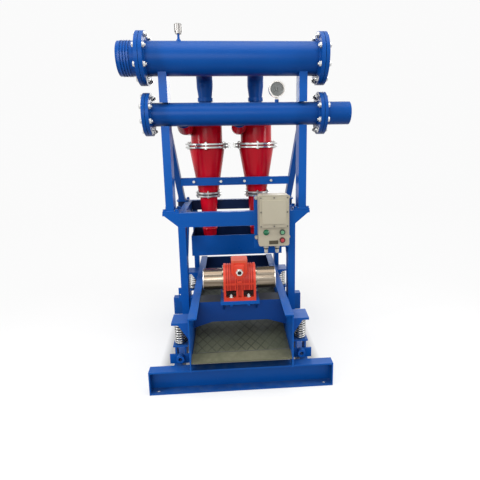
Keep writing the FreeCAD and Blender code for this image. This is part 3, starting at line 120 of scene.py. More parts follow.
def surface_age():
    """Group that gives mottling, dust lying on upward faces, fine peel, scratches, and
    edges for a painted highlight: 1 - the product of the true normal with one rounded
    over 2 mm. The last output, for painted shade in corners, is how much of the open
    air near by is shut off."""
    group = bpy.data.node_groups.new("surface_age", "ShaderNodeTree")
    for name, kind in (("Coordinates", "NodeSocketVector"), ("Size", "NodeSocketFloat")):
        group.interface.new_socket(name, in_out="INPUT", socket_type=kind)
    for name in ("Mottle", "Dust", "Peel", "Scratch", "Edge", "Painted_shade"):
        group.interface.new_socket(name, in_out="OUTPUT", socket_type="NodeSocketFloat")
    entry = new_node(group, "NodeGroupInput", {}).outputs
    at = new_node(group, "ShaderNodeVectorMath", {0: entry["Coordinates"], "Scale": entry["Size"]},
                  operation="SCALE").outputs[0]
    lie = new_node(group, "ShaderNodeNewGeometry", {}).outputs["Normal"]
    up = new_node(group, "ShaderNodeSeparateXYZ", {0: lie}).outputs["Z"]
    facing = ranged(group, up, 0.45, 0.98, 0.0, 1.0)
    patch = ranged(group, noise_on(group, at, 22.0, 6.0), 0.4, 0.68, 0.25, 1.0)
    fine = noise_on(group, at, 420.0, 2.0)
    wave = sum_of(group, noise_on(group, at, 45.0, 2.0), 2.2, "MULTIPLY")
    lines = noise_on(group, stretched(group, at, (14.0, 90.0, 60.0)), 6.0, 3.0, 0.7)
    rounded = new_node(group, "ShaderNodeBevel", {"Radius": 0.002}, samples=4).outputs["Normal"]
    agree = new_node(group, "ShaderNodeVectorMath", {0: rounded, 1: lie}, operation="DOT_PRODUCT")
    open_air = new_node(group, "ShaderNodeAmbientOcclusion", {"Distance": 0.22}, samples=4)
    new_node(group, "NodeGroupOutput", {
        "Mottle": ranged(group, noise_on(group, at, 3.0, 5.0), 0.32, 0.7, 0.0, 1.0),
        "Dust": sum_of(group, facing, patch, "MULTIPLY"),
        "Peel": sum_of(group, fine, wave, "ADD"),
        "Scratch": ranged(group, lines, 0.66, 0.72, 0.0, 1.0),
        "Edge": ranged(group, agree.outputs["Value"], 0.99, 0.86, 0.0, 1.0),
        "Painted_shade": ranged(group, open_air.outputs["AO"], 0.72, 0.2, 0.0, 1.0)})
    return group


AGE = surface_age()


def new_finish(name):
    """New material with its node tree and its shader."""
    made = bpy.data.materials.new(name)
    made.use_nodes = True
    return made, made.node_tree, made.node_tree.nodes["Principled BSDF"]


def bumped(tree, height, strength, relief):
    """Normal that follows a height, whose relief is in metres."""
    values = {"Height": height, "Strength": strength, "Distance": relief}
    return new_node(tree, "ShaderNodeBump", values).outputs["Normal"]


def aged_finish(name, colour, thin, dust=(0.42, 0.42, 0.40), rough=0.3, metal=0.0,
                dusty=0.18, mottled=0.5, peel=0.12, scratched=0.15, size=1.0, relief=0.0004,
                edged=0.35, specular=0.5, corner_shade=0.55):
    """Material: a main colour mottled with a thin one, paler on its edges as a painted
    highlight and darker in sheltered corners as painted shade, under dust, peel and
    scratches. A larger size gives a finer pattern, and relief is the height of the
    peel in metres."""
    made, tree, shader = new_finish(name)
    at = new_node(tree, "ShaderNodeTexCoord", {})
    age = new_node(tree, "ShaderNodeGroup", {"Size": size, "Coordinates": at.outputs["Object"]},
                   node_tree=AGE).outputs
    base = blended(tree, sum_of(tree, age["Mottle"], mottled, "MULTIPLY"), colour, thin)
    pale = tuple(min(1.0, 0.35 + 0.65 * c) for c in thin)
    base = blended(tree, sum_of(tree, age["Scratch"], scratched, "MULTIPLY"), base, pale)
    # Painted highlight: the paint turns paler where an edge rounds over.
    bright = tuple(min(1.0, 0.02 + 1.7 * c) for c in thin)
    base = blended(tree, sum_of(tree, age["Edge"], edged, "MULTIPLY"), base, bright)
    # Painted shade: the colour darkens where the open air near by is shut off.
    dark = tuple(0.22 * c for c in colour)
    base = blended(tree, sum_of(tree, age["Painted_shade"], corner_shade, "MULTIPLY"), base, dark)
    lying = sum_of(tree, age["Dust"], dusty, "MULTIPLY")
    base = blended(tree, lying, base, dust)
    gloss = sum_of(tree, age["Mottle"], 0.1, "MULTIPLY")
    gloss = sum_of(tree, gloss, rough - 0.05, "ADD")
    gloss = sum_of(tree, gloss, sum_of(tree, lying, 0.6, "MULTIPLY"), "ADD")
    feed(tree, shader, {"Base Color": base, "Roughness": gloss, "Metallic": metal,
                        "Specular IOR Level": specular,
                        "Normal": bumped(tree, age["Peel"], peel, relief)})
    return made


def dress(names, finish, *special):
    """Finish on whole nodes, with other finishes where a test holds on the x, y and z
    of the faces' centres."""
    for name in names:
        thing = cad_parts[name]
        mesh = thing.data
        mesh.materials.clear()
        mesh.materials.append(finish)
        for _, other in special:
            mesh.materials.append(other)
        centres = np.empty(len(mesh.polygons) * 3)
        mesh.polygons.foreach_get("center", centres)
        centres = centres.reshape(-1, 3)
        index = np.zeros(len(mesh.polygons), np.int32)
        for number, (test, _) in enumerate(special):
            index[test(*centres.T)] = number + 1
        mesh.polygons.foreach_set("material_index", index)
        mesh.update()


def faces_front(x, y, z):
    """Faces of a node that lie in its foremost plane."""
    return y < y.min() + 0.001


blue_enamel = aged_finish("blue_enamel", (0.002, 0.085, 0.39), (0.004, 0.112, 0.46),
                          rough=0.32, specular=0.16, dust=(0.10, 0.16, 0.26), dusty=0.3)
dress(FRAME_STEEL, blue_enamel)

# The rear beam's face towards the cones is painted dark as shade.
shade_enamel = aged_finish("shade_enamel", (0.002, 0.013, 0.065), (0.006, 0.030, 0.120),
                              rough=0.45, specular=0.16, mottled=0.8,
                              dust=(0.06, 0.07, 0.07), dusty=0.4, edged=0.1)
dress(["platform_rear_beam"], blue_enamel, (faces_front, shade_enamel))


# Weld seams on the frame
# Each post is welded all round to the steel under it, and the seam is painted
# with the rest. A seam is a rounded bead with overlapping ripples.


def piece(name, parts, finish, body, crease=35.0):
    """One object from several (points, faces) parts, riding on a body if one is named."""
    points = []
    faces = []
    start = 0
    for verts, polys in parts:
        verts = np.asarray(verts, float).reshape(-1, 3)
        points.append(verts)
        for block in polys:
            faces += (np.asarray(block) + start).tolist()
        start += len(verts)
    mesh = bpy.data.meshes.new(name)
    mesh.from_pydata(np.concatenate(points).tolist(), [], faces)
    mesh.validate()
    mesh.shade_smooth()
    mesh.set_sharp_from_angle(angle=math.radians(crease))
    mesh.materials.append(finish)
    thing = bpy.data.objects.new(name, mesh)
    bpy.context.scene.collection.objects.link(thing)
    if body:
        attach(thing, body)
    return thing


def skin(points, ring=True, loop=False):
    """Quads over a grid of points (row, column, xyz), closed round the columns,
    and either closed along the rows too or capped at both ends."""
    rows, cols = points.shape[:2]
    number = np.arange(rows * cols).reshape(rows, cols)
    right = np.roll(number, -1, axis=1) if ring else number[:, 1:]
    left = number if ring else number[:, :-1]
    low_left = left if loop else left[:-1]
    low_right = right if loop else right[:-1]
    high_left = np.roll(left, -1, axis=0) if loop else left[1:]
    high_right = np.roll(right, -1, axis=0) if loop else right[1:]
    quads = np.stack([low_left, low_right, high_right, high_left], -1).reshape(-1, 4)
    faces = [quads]
    if ring and not loop:
        faces += [number[:1, ::-1], number[-1:]]
    return points.reshape(-1, 3), faces


def carried(path, across, up, section):
    """Section (column, 2) carried along a path: point = path + a * across + b * up."""
    a = section[..., 0:1]
    b = section[..., 1:2]
    return path[:, None, :] + a * across[:, None, :] + b * up[:, None, :]


def full_turn(count):
    """Angles spaced evenly round a full turn."""
    return np.linspace(0.0, 2.0 * math.pi, count, endpoint=False)


def bead(path, normal, width=0.007):
    """Weld bead along a closed path. Its round section swells as 1 + 0.16 |sin| each
    5 mm, so that it looks laid in overlapping ripples."""
    path = np.asarray(path, float)
    ahead = np.roll(path, -1, 0) - np.roll(path, 1, 0)
    ahead /= np.linalg.norm(ahead, axis=1, keepdims=True)
    normal = np.broadcast_to(np.asarray(normal, float), path.shape)
    side = np.cross(ahead, normal)
    side /= np.linalg.norm(side, axis=1, keepdims=True)
    up = np.cross(side, ahead)
    step = np.linalg.norm(np.diff(path, axis=0), axis=1)
    along = np.concatenate([[0.0], np.cumsum(step)])
    swell = 1.0 + 0.16 * np.abs(np.sin(along * math.pi / 0.005))
    turn = full_turn(8)
    ring = np.stack([np.cos(turn), np.sin(turn)], -1) * width / 2.0
    section = swell[:, None, None] * ring[None]
    return skin(carried(path, side, up, section), loop=True)


def corners_path(points, pitch=0.0022):
    """Closed run through corner points, divided evenly along each side."""
    points = np.asarray(points, float)
    runs = []
    for a, b in zip(points, np.roll(points, -1, 0)):
        count = max(2, int(np.linalg.norm(b - a) / pitch))
        share = np.linspace(0.0, 1.0, count, endpoint=False)[:, None]
        runs.append(a + (b - a) * share)
    return np.concatenate(runs)


def rectangle_path(low, high, axis, level):
    """Closed rectangle at one level of an axis, between two corners."""
    i, j = [k for k in range(3) if k != axis]
    made = []
    for u, w in ((low[i], low[j]), (high[i], low[j]), (high[i], high[j]), (low[i], high[j])):
        point = [0.0, 0.0, 0.0]
        point[axis] = level
        point[i] = u
        point[j] = w
        made.append(point)
    return corners_path(made)


# Width and depth of the channels that the seams run round
FRONT_POST = (0.050, 0.100)
REAR_POST = (0.040, 0.063)
UPPER_POST_X = (0.436, 0.490)
UPPER_POST_Y = (-0.012, 0.108)
FOOT_PLATE = 0.012
frame_seams = []
for post, (width, depth) in (("front_post_right", FRONT_POST), ("rear_post_right", REAR_POST)):
    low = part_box(post)[0]
    for side in (-1.0, 1.0):
        x0, x1 = sorted((side * low.x, side * (low.x + width)))
        foot = rectangle_path((x0, low.y, 0), (x1, low.y + depth, 0), 2, low.z)
        frame_seams.append(bead(foot, (0, 0, 1)))
plate_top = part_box("upper_post_right")[0].z + FOOT_PLATE
for side in (-1.0, 1.0):
    x0, x1 = sorted((side * UPPER_POST_X[0], side * UPPER_POST_X[1]))
    foot = rectangle_path((x0, UPPER_POST_Y[0], 0), (x1, UPPER_POST_Y[1], 0), 2, plate_top)
    frame_seams.append(bead(foot, (0, 0, 1)))
piece("frame_weld_seams", frame_seams, blue_enamel, "skid")


# Upper posts at the feed header
# The real posts' seat for the lower header is open to the front, so the pipe
# passes in front of them whole. Both posts are made again with that slot cut.

FEED = np.array([0.062, 1.665])
FEED_R = 0.078


def less_block(name, low, high):
    """Points and faces of a node's shape less the block between two corners."""
    whole = bmesh.new()
    whole.from_mesh(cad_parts[name].data)
    bmesh.ops.remove_doubles(whole, verts=whole.verts, dist=1e-6)
    block = bmesh.new()
    bmesh.ops.create_cube(block, size=1.0)
    low, high = Vector(low), Vector(high)
    placed = Matrix.Translation((low + high) / 2.0) @ Matrix.Diagonal(high - low).to_4x4()
    bmesh.ops.transform(block, matrix=placed, verts=block.verts)
    things = []
    for part, shape in (("whole", whole), ("block", block)):
        mesh = bpy.data.meshes.new(part)
        shape.to_mesh(mesh)
        shape.free()
        things.append(bpy.data.objects.new(part, mesh))
        bpy.context.scene.collection.objects.link(things[-1])
    cut = things[0].modifiers.new("cut", "BOOLEAN")
    cut.operation = "DIFFERENCE"
    cut.solver = "EXACT"
    cut.object = things[1]
    bpy.context.view_layer.update()
    made = things[0].evaluated_get(bpy.context.evaluated_depsgraph_get()).to_mesh()
    rest = ([tuple(v.co) for v in made.vertices], [[list(p.vertices)] for p in made.polygons])
    for thing in things:
        bpy.data.objects.remove(thing)
    return rest


# The slot runs from in front of the post back to the pipe's axis, and from the
# pipe's underside to a little below its top, where no gap can be seen over it.
SLOT_LOW = FEED[1] - FEED_R
SLOT_TOP = FEED[1] + FEED_R - 0.004
PAST_POST = 0.020
posts = []
for name in ("upper_post_left", "upper_post_right"):
    low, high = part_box(name)
    posts.append(less_block(name, (low.x - PAST_POST, low.y - PAST_POST, SLOT_LOW),
                            (high.x + PAST_POST, FEED[0], SLOT_TOP)))
open_posts = piece("upper_posts_slotted", posts, blue_enamel, "skid")
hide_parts("upper_post_left", "upper_post_right")


# Headers, stubs, blinds and their flanges
# Steel pipe with flat flanges welded on, closed by blind flanges at one end,
# sprayed blue like the frame and painted in a darker copy of its enamel as shade.
# Each flange neck and branch has its weld seam.

PIPEWORK = ["feed_header", "feed_stub", "feed_blind_flange", "overflow_header",
            "overflow_blind_flange", "hose_nipple", "riser_left", "riser_right"]
OVERFLOW = np.array([0.0505, 2.021])
OVERFLOW_R = 0.1095
FEED_FLANGE = 0.022
OVERFLOW_FLANGE = 0.024
BRANCH_ASIDE = 0.140
BRANCH_R = 0.051
BRANCH_DROP = math.radians(27.43)
RISER_R = 0.0625
CYCLONE_X = (-0.216, 0.174)
CYCLONE_Y = 0.446

# A darker copy of the frame's blue enamel, as painted shade.
pipe_shade_enamel = aged_finish("pipe_shade_enamel", (0.002, 0.068, 0.32), (0.004, 0.090, 0.38),
                          rough=0.34, specular=0.14, dust=(0.10, 0.16, 0.26), dusty=0.3)
dress(PIPEWORK, pipe_shade_enamel)


def ring_path(x, centre, radius, count=220):
    """Circle about a pipe that runs along X: (x, y0 + r cos t, z0 + r sin t)."""
    t = full_turn(count)
    y, z = centre[0] + radius * np.cos(t), centre[1] + radius * np.sin(t)
    return np.stack([np.full(count, x), y, z], -1)


def saddle_path(x, centre, header_radius, branch_radius, drop, count=180):
    """Where a branch meets a header: s = sqrt(R^2 - (r sin t)^2) along the branch."""
    t = full_turn(count)
    s = np.sqrt(header_radius ** 2 - (branch_radius * np.sin(t)) ** 2)
    side = branch_radius * np.cos(t)
    rise = branch_radius * np.sin(t)
    y = centre[0] + s * math.cos(drop) + rise * math.sin(drop)
    z = centre[1] - s * math.sin(drop) + rise * math.cos(drop)
    return np.stack([x + side, y, z], -1)


def neck_seam(x, centre, radius):
    """Seam where a pipe meets its flange, 1 mm proud of the pipe."""
    return bead(ring_path(x, centre, radius + 0.001), (1, 0, 0), 0.010)


pipe_seams = []
for node, centre, radius, thick in (("feed_header", FEED, FEED_R, FEED_FLANGE),
                                    ("overflow_header", OVERFLOW, OVERFLOW_R, OVERFLOW_FLANGE)):
    low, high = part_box(node)
    pipe_seams += [neck_seam(x, centre, radius) for x in (low.x + thick, high.x - thick)]
stub_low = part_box("feed_stub")[0]
nipple_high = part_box("hose_nipple")[1]
pipe_seams.append(neck_seam(stub_low.x + FEED_FLANGE, FEED, FEED_R))
pipe_seams.append(neck_seam(nipple_high.x - OVERFLOW_FLANGE, OVERFLOW, OVERFLOW_R))
for x in CYCLONE_X:
    branch = saddle_path(x - BRANCH_ASIDE, FEED, FEED_R, BRANCH_R, BRANCH_DROP)
    riser = saddle_path(x, OVERFLOW, OVERFLOW_R, RISER_R, 0.0)
    pipe_seams += [bead(branch, (0, 0.9, -0.44), 0.008), bead(riser, (0, 1, 0), 0.008)]
piece("pipe_weld_seams", pipe_seams, pipe_shade_enamel, "skid")


# Flange bolts
# Zinc-plated hexagon bolts with washers and nuts, eight to a flange, with a
# few turns of thread past each nut.

FEED_BOLT_CIRCLE = 0.120
OVERFLOW_BOLT_CIRCLE = 0.1475
BOLT_FLATS = 0.030
BOLT_HEAD = 0.0115
WASHER = 0.0026
THREAD_END = 0.008
zinc_plate = aged_finish("zinc_plate", (0.60, 0.60, 0.59), (0.50, 0.50, 0.48), rough=0.3, metal=1.0,
                         mottled=0.6, peel=0.1, scratched=0.1, dusty=0.1, size=3.0, edged=0.1)


def basis(axis):
    """Two directions across an axis, so that (u, v, axis) is right-handed."""
    axis = np.asarray(axis, float)
    u = np.cross((0.0, 0.0, 1.0) if abs(axis[2]) < 0.9 else (0.0, 1.0, 0.0), axis)
    u /= np.linalg.norm(u)
    return u, np.cross(axis, u)


def turned(radius, height, origin, axis):
    """Rows at heights along an axis through an origin, each with a radius per angle."""
    u, v = basis(axis)
    t = full_turn(radius.shape[1])[:, None]
    out = radius[..., None] * (np.cos(t) * u + np.sin(t) * v)
    return skin(np.asarray(origin) + out + height[:, None, None] * np.asarray(axis, float))


def lathed(profile, origin, axis, sides):
    """Profile of (radius, height) turned about an axis through an origin."""
    radius, height = np.asarray(profile, float).T
    return turned(np.repeat(radius[:, None], sides, 1), height, origin, axis)


def hex_head(across, height, origin, axis):
    """Bolt head: radius = half the flats / cos(angle from a flat's middle), cut by a
    30 degree chamfer cone at the free end."""
    flat = across / 2.0
    corner = flat / np.cos((full_turn(36) % (math.pi / 3.0)) - math.pi / 6.0)
    rise = np.array([0.0, 0.55, 0.8, 0.92, 1.0, 1.0]) * height
    limit = np.array([9.0, 9.0, 1.14, 1.06, 0.94, 0.02])
    return turned(np.minimum(corner[None, :], flat * limit[:, None]), rise, origin, axis)


def thread_tip(radius, length, pitch, origin, axis):
    """Bolt end: radius swings by a triangle wave over each pitch, as ring grooves."""
    h = np.arange(0.0, length, pitch / 2.0)
    r = radius - (np.arange(len(h)) % 2) * pitch * 0.45
    r[-2:] = radius - pitch * 0.7
    profile = np.stack([r, h], -1)
    return lathed(np.concatenate([profile, [[0.0005, h[-1]]]]), origin, axis, 20)


def bolted(across, head, origin, axis, washer=True, tip=0.0):
    """Head or nut on a washer, with a thread's end where a tip length is given."""
    made = []
    axis = np.asarray(axis, float)
    origin = np.asarray(origin, float)
    if washer:
        r = across * 0.68
        disc = [(0.001, 0.0), (r, 0.0), (r + 0.0004, 0.0012), (r, WASHER), (0.001, WASHER)]
        made.append(lathed(disc, origin, axis, 28))
        origin = origin + axis * WASHER
    made.append(hex_head(across, head, origin, axis))
    if tip > 0.0:
        made.append(thread_tip(across * 0.31, tip, 0.0022, origin + axis * head, axis))
    return made


flange_sets = []
feed_low, feed_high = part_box("feed_header")
over_low, over_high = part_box("overflow_header")
blind_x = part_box("feed_blind_flange")[0].x
over_blind_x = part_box("overflow_blind_flange")[1].x
pairs = ((FEED, FEED_BOLT_CIRCLE, blind_x, feed_low.x + FEED_FLANGE),
         (FEED, FEED_BOLT_CIRCLE, feed_high.x - FEED_FLANGE, stub_low.x + FEED_FLANGE),
         (OVERFLOW, OVERFLOW_BOLT_CIRCLE, nipple_high.x - OVERFLOW_FLANGE, over_low.x + OVERFLOW_FLANGE),
         (OVERFLOW, OVERFLOW_BOLT_CIRCLE, over_high.x - OVERFLOW_FLANGE, over_blind_x))
for centre, circle, left, right in pairs:
    left_tip, right_tip = (0.0, THREAD_END) if left < 0.0 else (THREAD_END, 0.0)
    for k in range(8):
        turn = math.radians(45.0 * (k + 0.5))
        y = centre[0] + circle * math.cos(turn)
        z = centre[1] + circle * math.sin(turn)
        flange_sets += bolted(BOLT_FLATS, BOLT_HEAD, (left, y, z), (-1, 0, 0), tip=left_tip)
        flange_sets += bolted(BOLT_FLATS, BOLT_HEAD, (right, y, z), (1, 0, 0), tip=right_tip)
fasteners = piece("flange_fasteners", flange_sets, zinc_plate, "skid", 25.0)
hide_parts("flange_bolts")

RAIL_FRONT = 0.3178
RAIL_BACK = 0.3445


def off_cone_rail(x, y, z):
    """Nuts in front of the cones' rail and U-bolts behind it."""
    return (y < RAIL_FRONT) | (y > RAIL_BACK)


dress(["cone_rail"], blue_enamel, (off_cone_rail, zinc_plate))
gasket = aged_finish("gasket_rubber", (0.02, 0.02, 0.02), (0.04, 0.04, 0.04), rough=0.7, scratched=0.0)
dress(["flange_gaskets"], gasket)


# Cyclones
# Cast polyurethane heads and cones in glossy red. Zinc-plated rings clamp their
# rims, and a fluted collar is screwed on at the apex.

CYCLONES = ["cyclone_head_left", "cyclone_head_right", "upper_cone_left", "upper_cone_right",
            "lower_cone_left", "lower_cone_right"]
# Level, outer radius and bolt size of the clamp rings' joints
UPPER_RING = (1.448, 0.168, 0.019)
LOWER_RING = (1.066, 0.102, 0.014)
RING_HALF = 0.018
red_moulding = aged_finish("red_moulding", (0.70, 0.003, 0.018), (0.78, 0.010, 0.030), rough=0.2,
                           peel=0.08, dusty=0.1, scratched=0.05, size=0.8, specular=0.22,
                           dust=(0.5, 0.12, 0.12))
shaded_rim = aged_finish("shaded_rim", (0.045, 0.012, 0.012), (0.09, 0.02, 0.02), rough=0.5,
                         scratched=0.0, edged=0.0)


def between_rings(x, y, z):
    """Edge of the rims that the clamp rings squeeze, painted dark as shade."""
    out = np.minimum(np.hypot(x - CYCLONE_X[0], y - CYCLONE_Y),
                     np.hypot(x - CYCLONE_X[1], y - CYCLONE_Y))
    upper = (np.abs(z - UPPER_RING[0]) < 0.0125) & (out > 0.150) & (out < 0.172)
    return upper | ((np.abs(z - LOWER_RING[0]) < 0.0125) & (out > 0.088) & (out < 0.106))


dress(CYCLONES, red_moulding, (between_rings, shaded_rim))
dress(["clamp_rings_left", "clamp_rings_right"], zinc_plate)
ring_bolts = []
for x in CYCLONE_X:
    for level, radius, across in (UPPER_RING, LOWER_RING):
        circle = radius - across * 0.62
        flats = across + 0.0008
        for k in range(6):
            turn = math.radians(60.0 * k - 90.0)
            spot = (x + circle * math.cos(turn), CYCLONE_Y + circle * math.sin(turn))
            ring_bolts += bolted(flats, 0.0084, (*spot, level + RING_HALF), (0, 0, 1),
                                 washer=False, tip=0.006)
            ring_bolts += bolted(flats, 0.0084, (*spot, level - RING_HALF), (0, 0, -1), washer=False)
piece("ring_fasteners", ring_bolts, zinc_plate, "skid", 25.0)


def apex_coupling(x):
    """Fluted collar: radius = profile(z) + 1.6 mm * |cos 9t| between two round rims."""
    z = np.array([0.773, 0.7735, 0.775, 0.781, 0.784, 0.787,
                  0.812, 0.816, 0.819, 0.825, 0.8275, 0.828])
    r = np.array([0.050, 0.0585, 0.0600, 0.0600, 0.0590, 0.0555,
                  0.0565, 0.0595, 0.0605, 0.0605, 0.0590, 0.053])
    flute = np.where((z > 0.785) & (z < 0.814), 0.0016, 0.0)
    radius = r[:, None] + flute[:, None] * np.abs(np.cos(9.0 * full_turn(144)))[None]
    return turned(radius, z, (x, CYCLONE_Y, 0.0), (0, 0, 1))


couplings = piece("apex_couplings", [apex_coupling(x) for x in CYCLONE_X], red_moulding, "skid", 50.0)


# Coil springs
# Cold-wound zinc-plated wire with its end turns closed and ground flat. One
# stands on each sill pedestal and carries a corner of the basket.

SPRING_X = 0.371
SPRING_Y = (-0.439, 0.441)
SPRING_LOW = 0.266
SPRING_HIGH = 0.412
WIRE = 0.0046
COIL_R = 0.033
TURNS = 9.5


def coil(x, y):
    """Helix with closed ends: height = low + w + (rise - 2w) * s(t), where s is flat
    for the first and last turn and straight between, all as one smooth curve."""
    t = np.linspace(0.0, 1.0, int(TURNS * 44))
    turn = t * TURNS * 2.0 * math.pi
    lead = 2.0 * WIRE / (SPRING_HIGH - SPRING_LOW - 2.0 * WIRE)
    knots = np.array([0.0, 1.0, 2.0, TURNS - 2.0, TURNS - 1.0, TURNS]) / TURNS
    shares = np.array([0.0, lead, 2.6 * lead, 1.0 - 2.6 * lead, 1.0 - lead, 1.0])
    share = np.interp(t, knots, shares)
    soft = np.convolve(np.pad(share, 10, mode="edge"), np.ones(21) / 21.0, mode="valid")
    z = SPRING_LOW + WIRE + (SPRING_HIGH - SPRING_LOW - 2.0 * WIRE) * soft
    out = np.stack([np.cos(turn), np.sin(turn), 0.0 * turn], -1)
    path = np.stack([x + COIL_R * np.cos(turn), y + COIL_R * np.sin(turn), z], -1)
    a = full_turn(12)
    ring = np.stack([np.cos(a), np.sin(a)], -1) * WIRE
    points = carried(path, out, np.array([[0.0, 0.0, 1.0]]) + 0.0 * out, ring[None])
    points[..., 2] = np.clip(points[..., 2], SPRING_LOW, SPRING_HIGH)
    return skin(points[:, ::-1])


# The wire takes the full painted shade between its turns.
spring_wire = aged_finish("spring_wire", (0.56, 0.56, 0.55), (0.40, 0.40, 0.39), rough=0.30, metal=1.0,
                          mottled=0.5, corner_shade=1.0, size=4.0, edged=0.0, peel=0.0)
coils = piece("coil_springs", [coil(side * SPRING_X, y) for side in (-1.0, 1.0) for y in SPRING_Y],
              spring_wire, None)
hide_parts("springs")
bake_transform(coils)


# Vibrating basket
# Two side plates, a rear plate and a box beam that carries the motor, all
# welded plate in blue enamel with painted shade on the beam and on the rear
# plate's front, and with seams round each spring bracket.

# Spring brackets outside the walls, box beam between them, and the motor's seat
BRACKET_X = 0.304
BRACKET_HALF = 0.062
BRACKET_PLATE = 0.009
WALL_INNER = 0.2965
BEAM_Y = (-0.380, -0.270)
BEAM_LOW = 0.362
BEAM_TOP = 0.495
SEAT_HALF = 0.130
SEAT_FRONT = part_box("basket_cross_beam")[0].y
dress(["basket_wall_left", "basket_wall_right"], blue_enamel)
# The rear plate's face towards the deck is painted dark as shade.
dress(["basket_rear_plate"], blue_enamel, (faces_front, shade_enamel))


def inside_hopper(x, y, z):
    """Faces inside the hopper, painted dark as shade."""
    low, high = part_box("underflow_hopper")
    across = np.abs(x) < high.x - 0.0025
    return across & (y > low.y + 0.003) & (y < high.y - 0.003)


def beam_top(x, y, z):
    """Top of the beam beside the motor's seat, painted darker."""
    return (z > BEAM_TOP - 0.0005) & (np.abs(x) > SEAT_HALF)


def motor_seat(x, y, z):
    """Seat under the motor and its front edge."""
    on_top = (z > BEAM_TOP + 0.0002) & (np.abs(x) < SEAT_HALF)
    return on_top | (y < SEAT_FRONT + 0.012)


dress(["underflow_hopper"], blue_enamel, (inside_hopper, shade_enamel))
beam_shade_enamel = aged_finish("beam_shade_enamel", (0.002, 0.048, 0.25), (0.004, 0.066, 0.31), rough=0.34,
                          specular=0.16, dust=(0.08, 0.12, 0.18), dusty=0.3)
dark_beam_top = aged_finish("dark_beam_top", (0.012, 0.024, 0.050), (0.030, 0.032, 0.030), rough=0.5,
                       mottled=0.9, dust=(0.10, 0.10, 0.08), dusty=0.4, edged=0.1)
# Painted shade: the beam takes a darker copy of the blue enamel, and only its seat and front edge keep
# the lighter one.
dress(["basket_cross_beam"], beam_shade_enamel, (beam_top, dark_beam_top), (motor_seat, blue_enamel))
basket_seams = []
for side in (-1.0, 1.0):
    for y in SPRING_Y:
        plate = rectangle_path((0, y - BRACKET_HALF, SPRING_HIGH),
                               (0, y + BRACKET_HALF, SPRING_HIGH + BRACKET_PLATE), 0, side * BRACKET_X)
        basket_seams.append(bead(plate, (1, 0, 0), 0.006))
    beam_end = rectangle_path((0, BEAM_Y[0], BEAM_LOW), (0, BEAM_Y[1], BEAM_TOP - 0.005), 0,
                              side * WALL_INNER)
    basket_seams.append(bead(beam_end, (1, 0, 0)))
piece("basket_weld_seams", basket_seams, blue_enamel, "basket")


# Screens
# Two steel frames with woven wire cloth bonded over a quilted backing, so that
# the cloth stands up in diamonds. The lip is plate, worn and mud-stained.

DECK_TILT = math.radians(3.9)
DECK_FRONT = np.array([0.0, -0.535, 0.240])
PANEL_HALF = 0.292
PANEL_LENGTH = 0.538
PANEL_GAP = 0.004
CLOTH_EDGE = 0.006
DIAMOND = (0.060, 0.092)


def on_deck(points):
    """Level points (x, y, z) tilted about the deck's front edge."""
    x, y, z = points[..., 0], points[..., 1], points[..., 2]
    back = y * math.cos(DECK_TILT) - z * math.sin(DECK_TILT)
    up = y * math.sin(DECK_TILT) + z * math.cos(DECK_TILT)
    return np.stack([x, back, up], -1) + DECK_FRONT


def quilted_cloth(start):
    """Cloth height = 2.2 mm * (1 - groove), with the groove near 1 on two families of
    lines x/a + y/b and x/a - y/b that cross in diamonds of 60 by 92 mm."""
    x = np.linspace(-PANEL_HALF + CLOTH_EDGE, PANEL_HALF - CLOTH_EDGE, 146)
    y = np.linspace(start + CLOTH_EDGE, start + PANEL_LENGTH - CLOTH_EDGE, 134)
    gx, gy = np.meshgrid(x, y)
    one = np.abs(((gx / DIAMOND[0] + gy / DIAMOND[1]) % 1.0) - 0.5)
    two = np.abs(((gx / DIAMOND[0] - gy / DIAMOND[1]) % 1.0) - 0.5)
    low = np.exp(-((np.minimum(one, two) / 0.055) ** 2))
    height = 0.0004 + 0.0022 * (1.0 - low)
    edge = np.minimum(np.minimum(gx - x[0], x[-1] - gx), np.minimum(gy - y[0], y[-1] - gy))
    height *= np.clip(edge / 0.012, 0.0, 1.0)
    top = on_deck(np.stack([gx, gy, height], -1))
    return skin(top, ring=False)


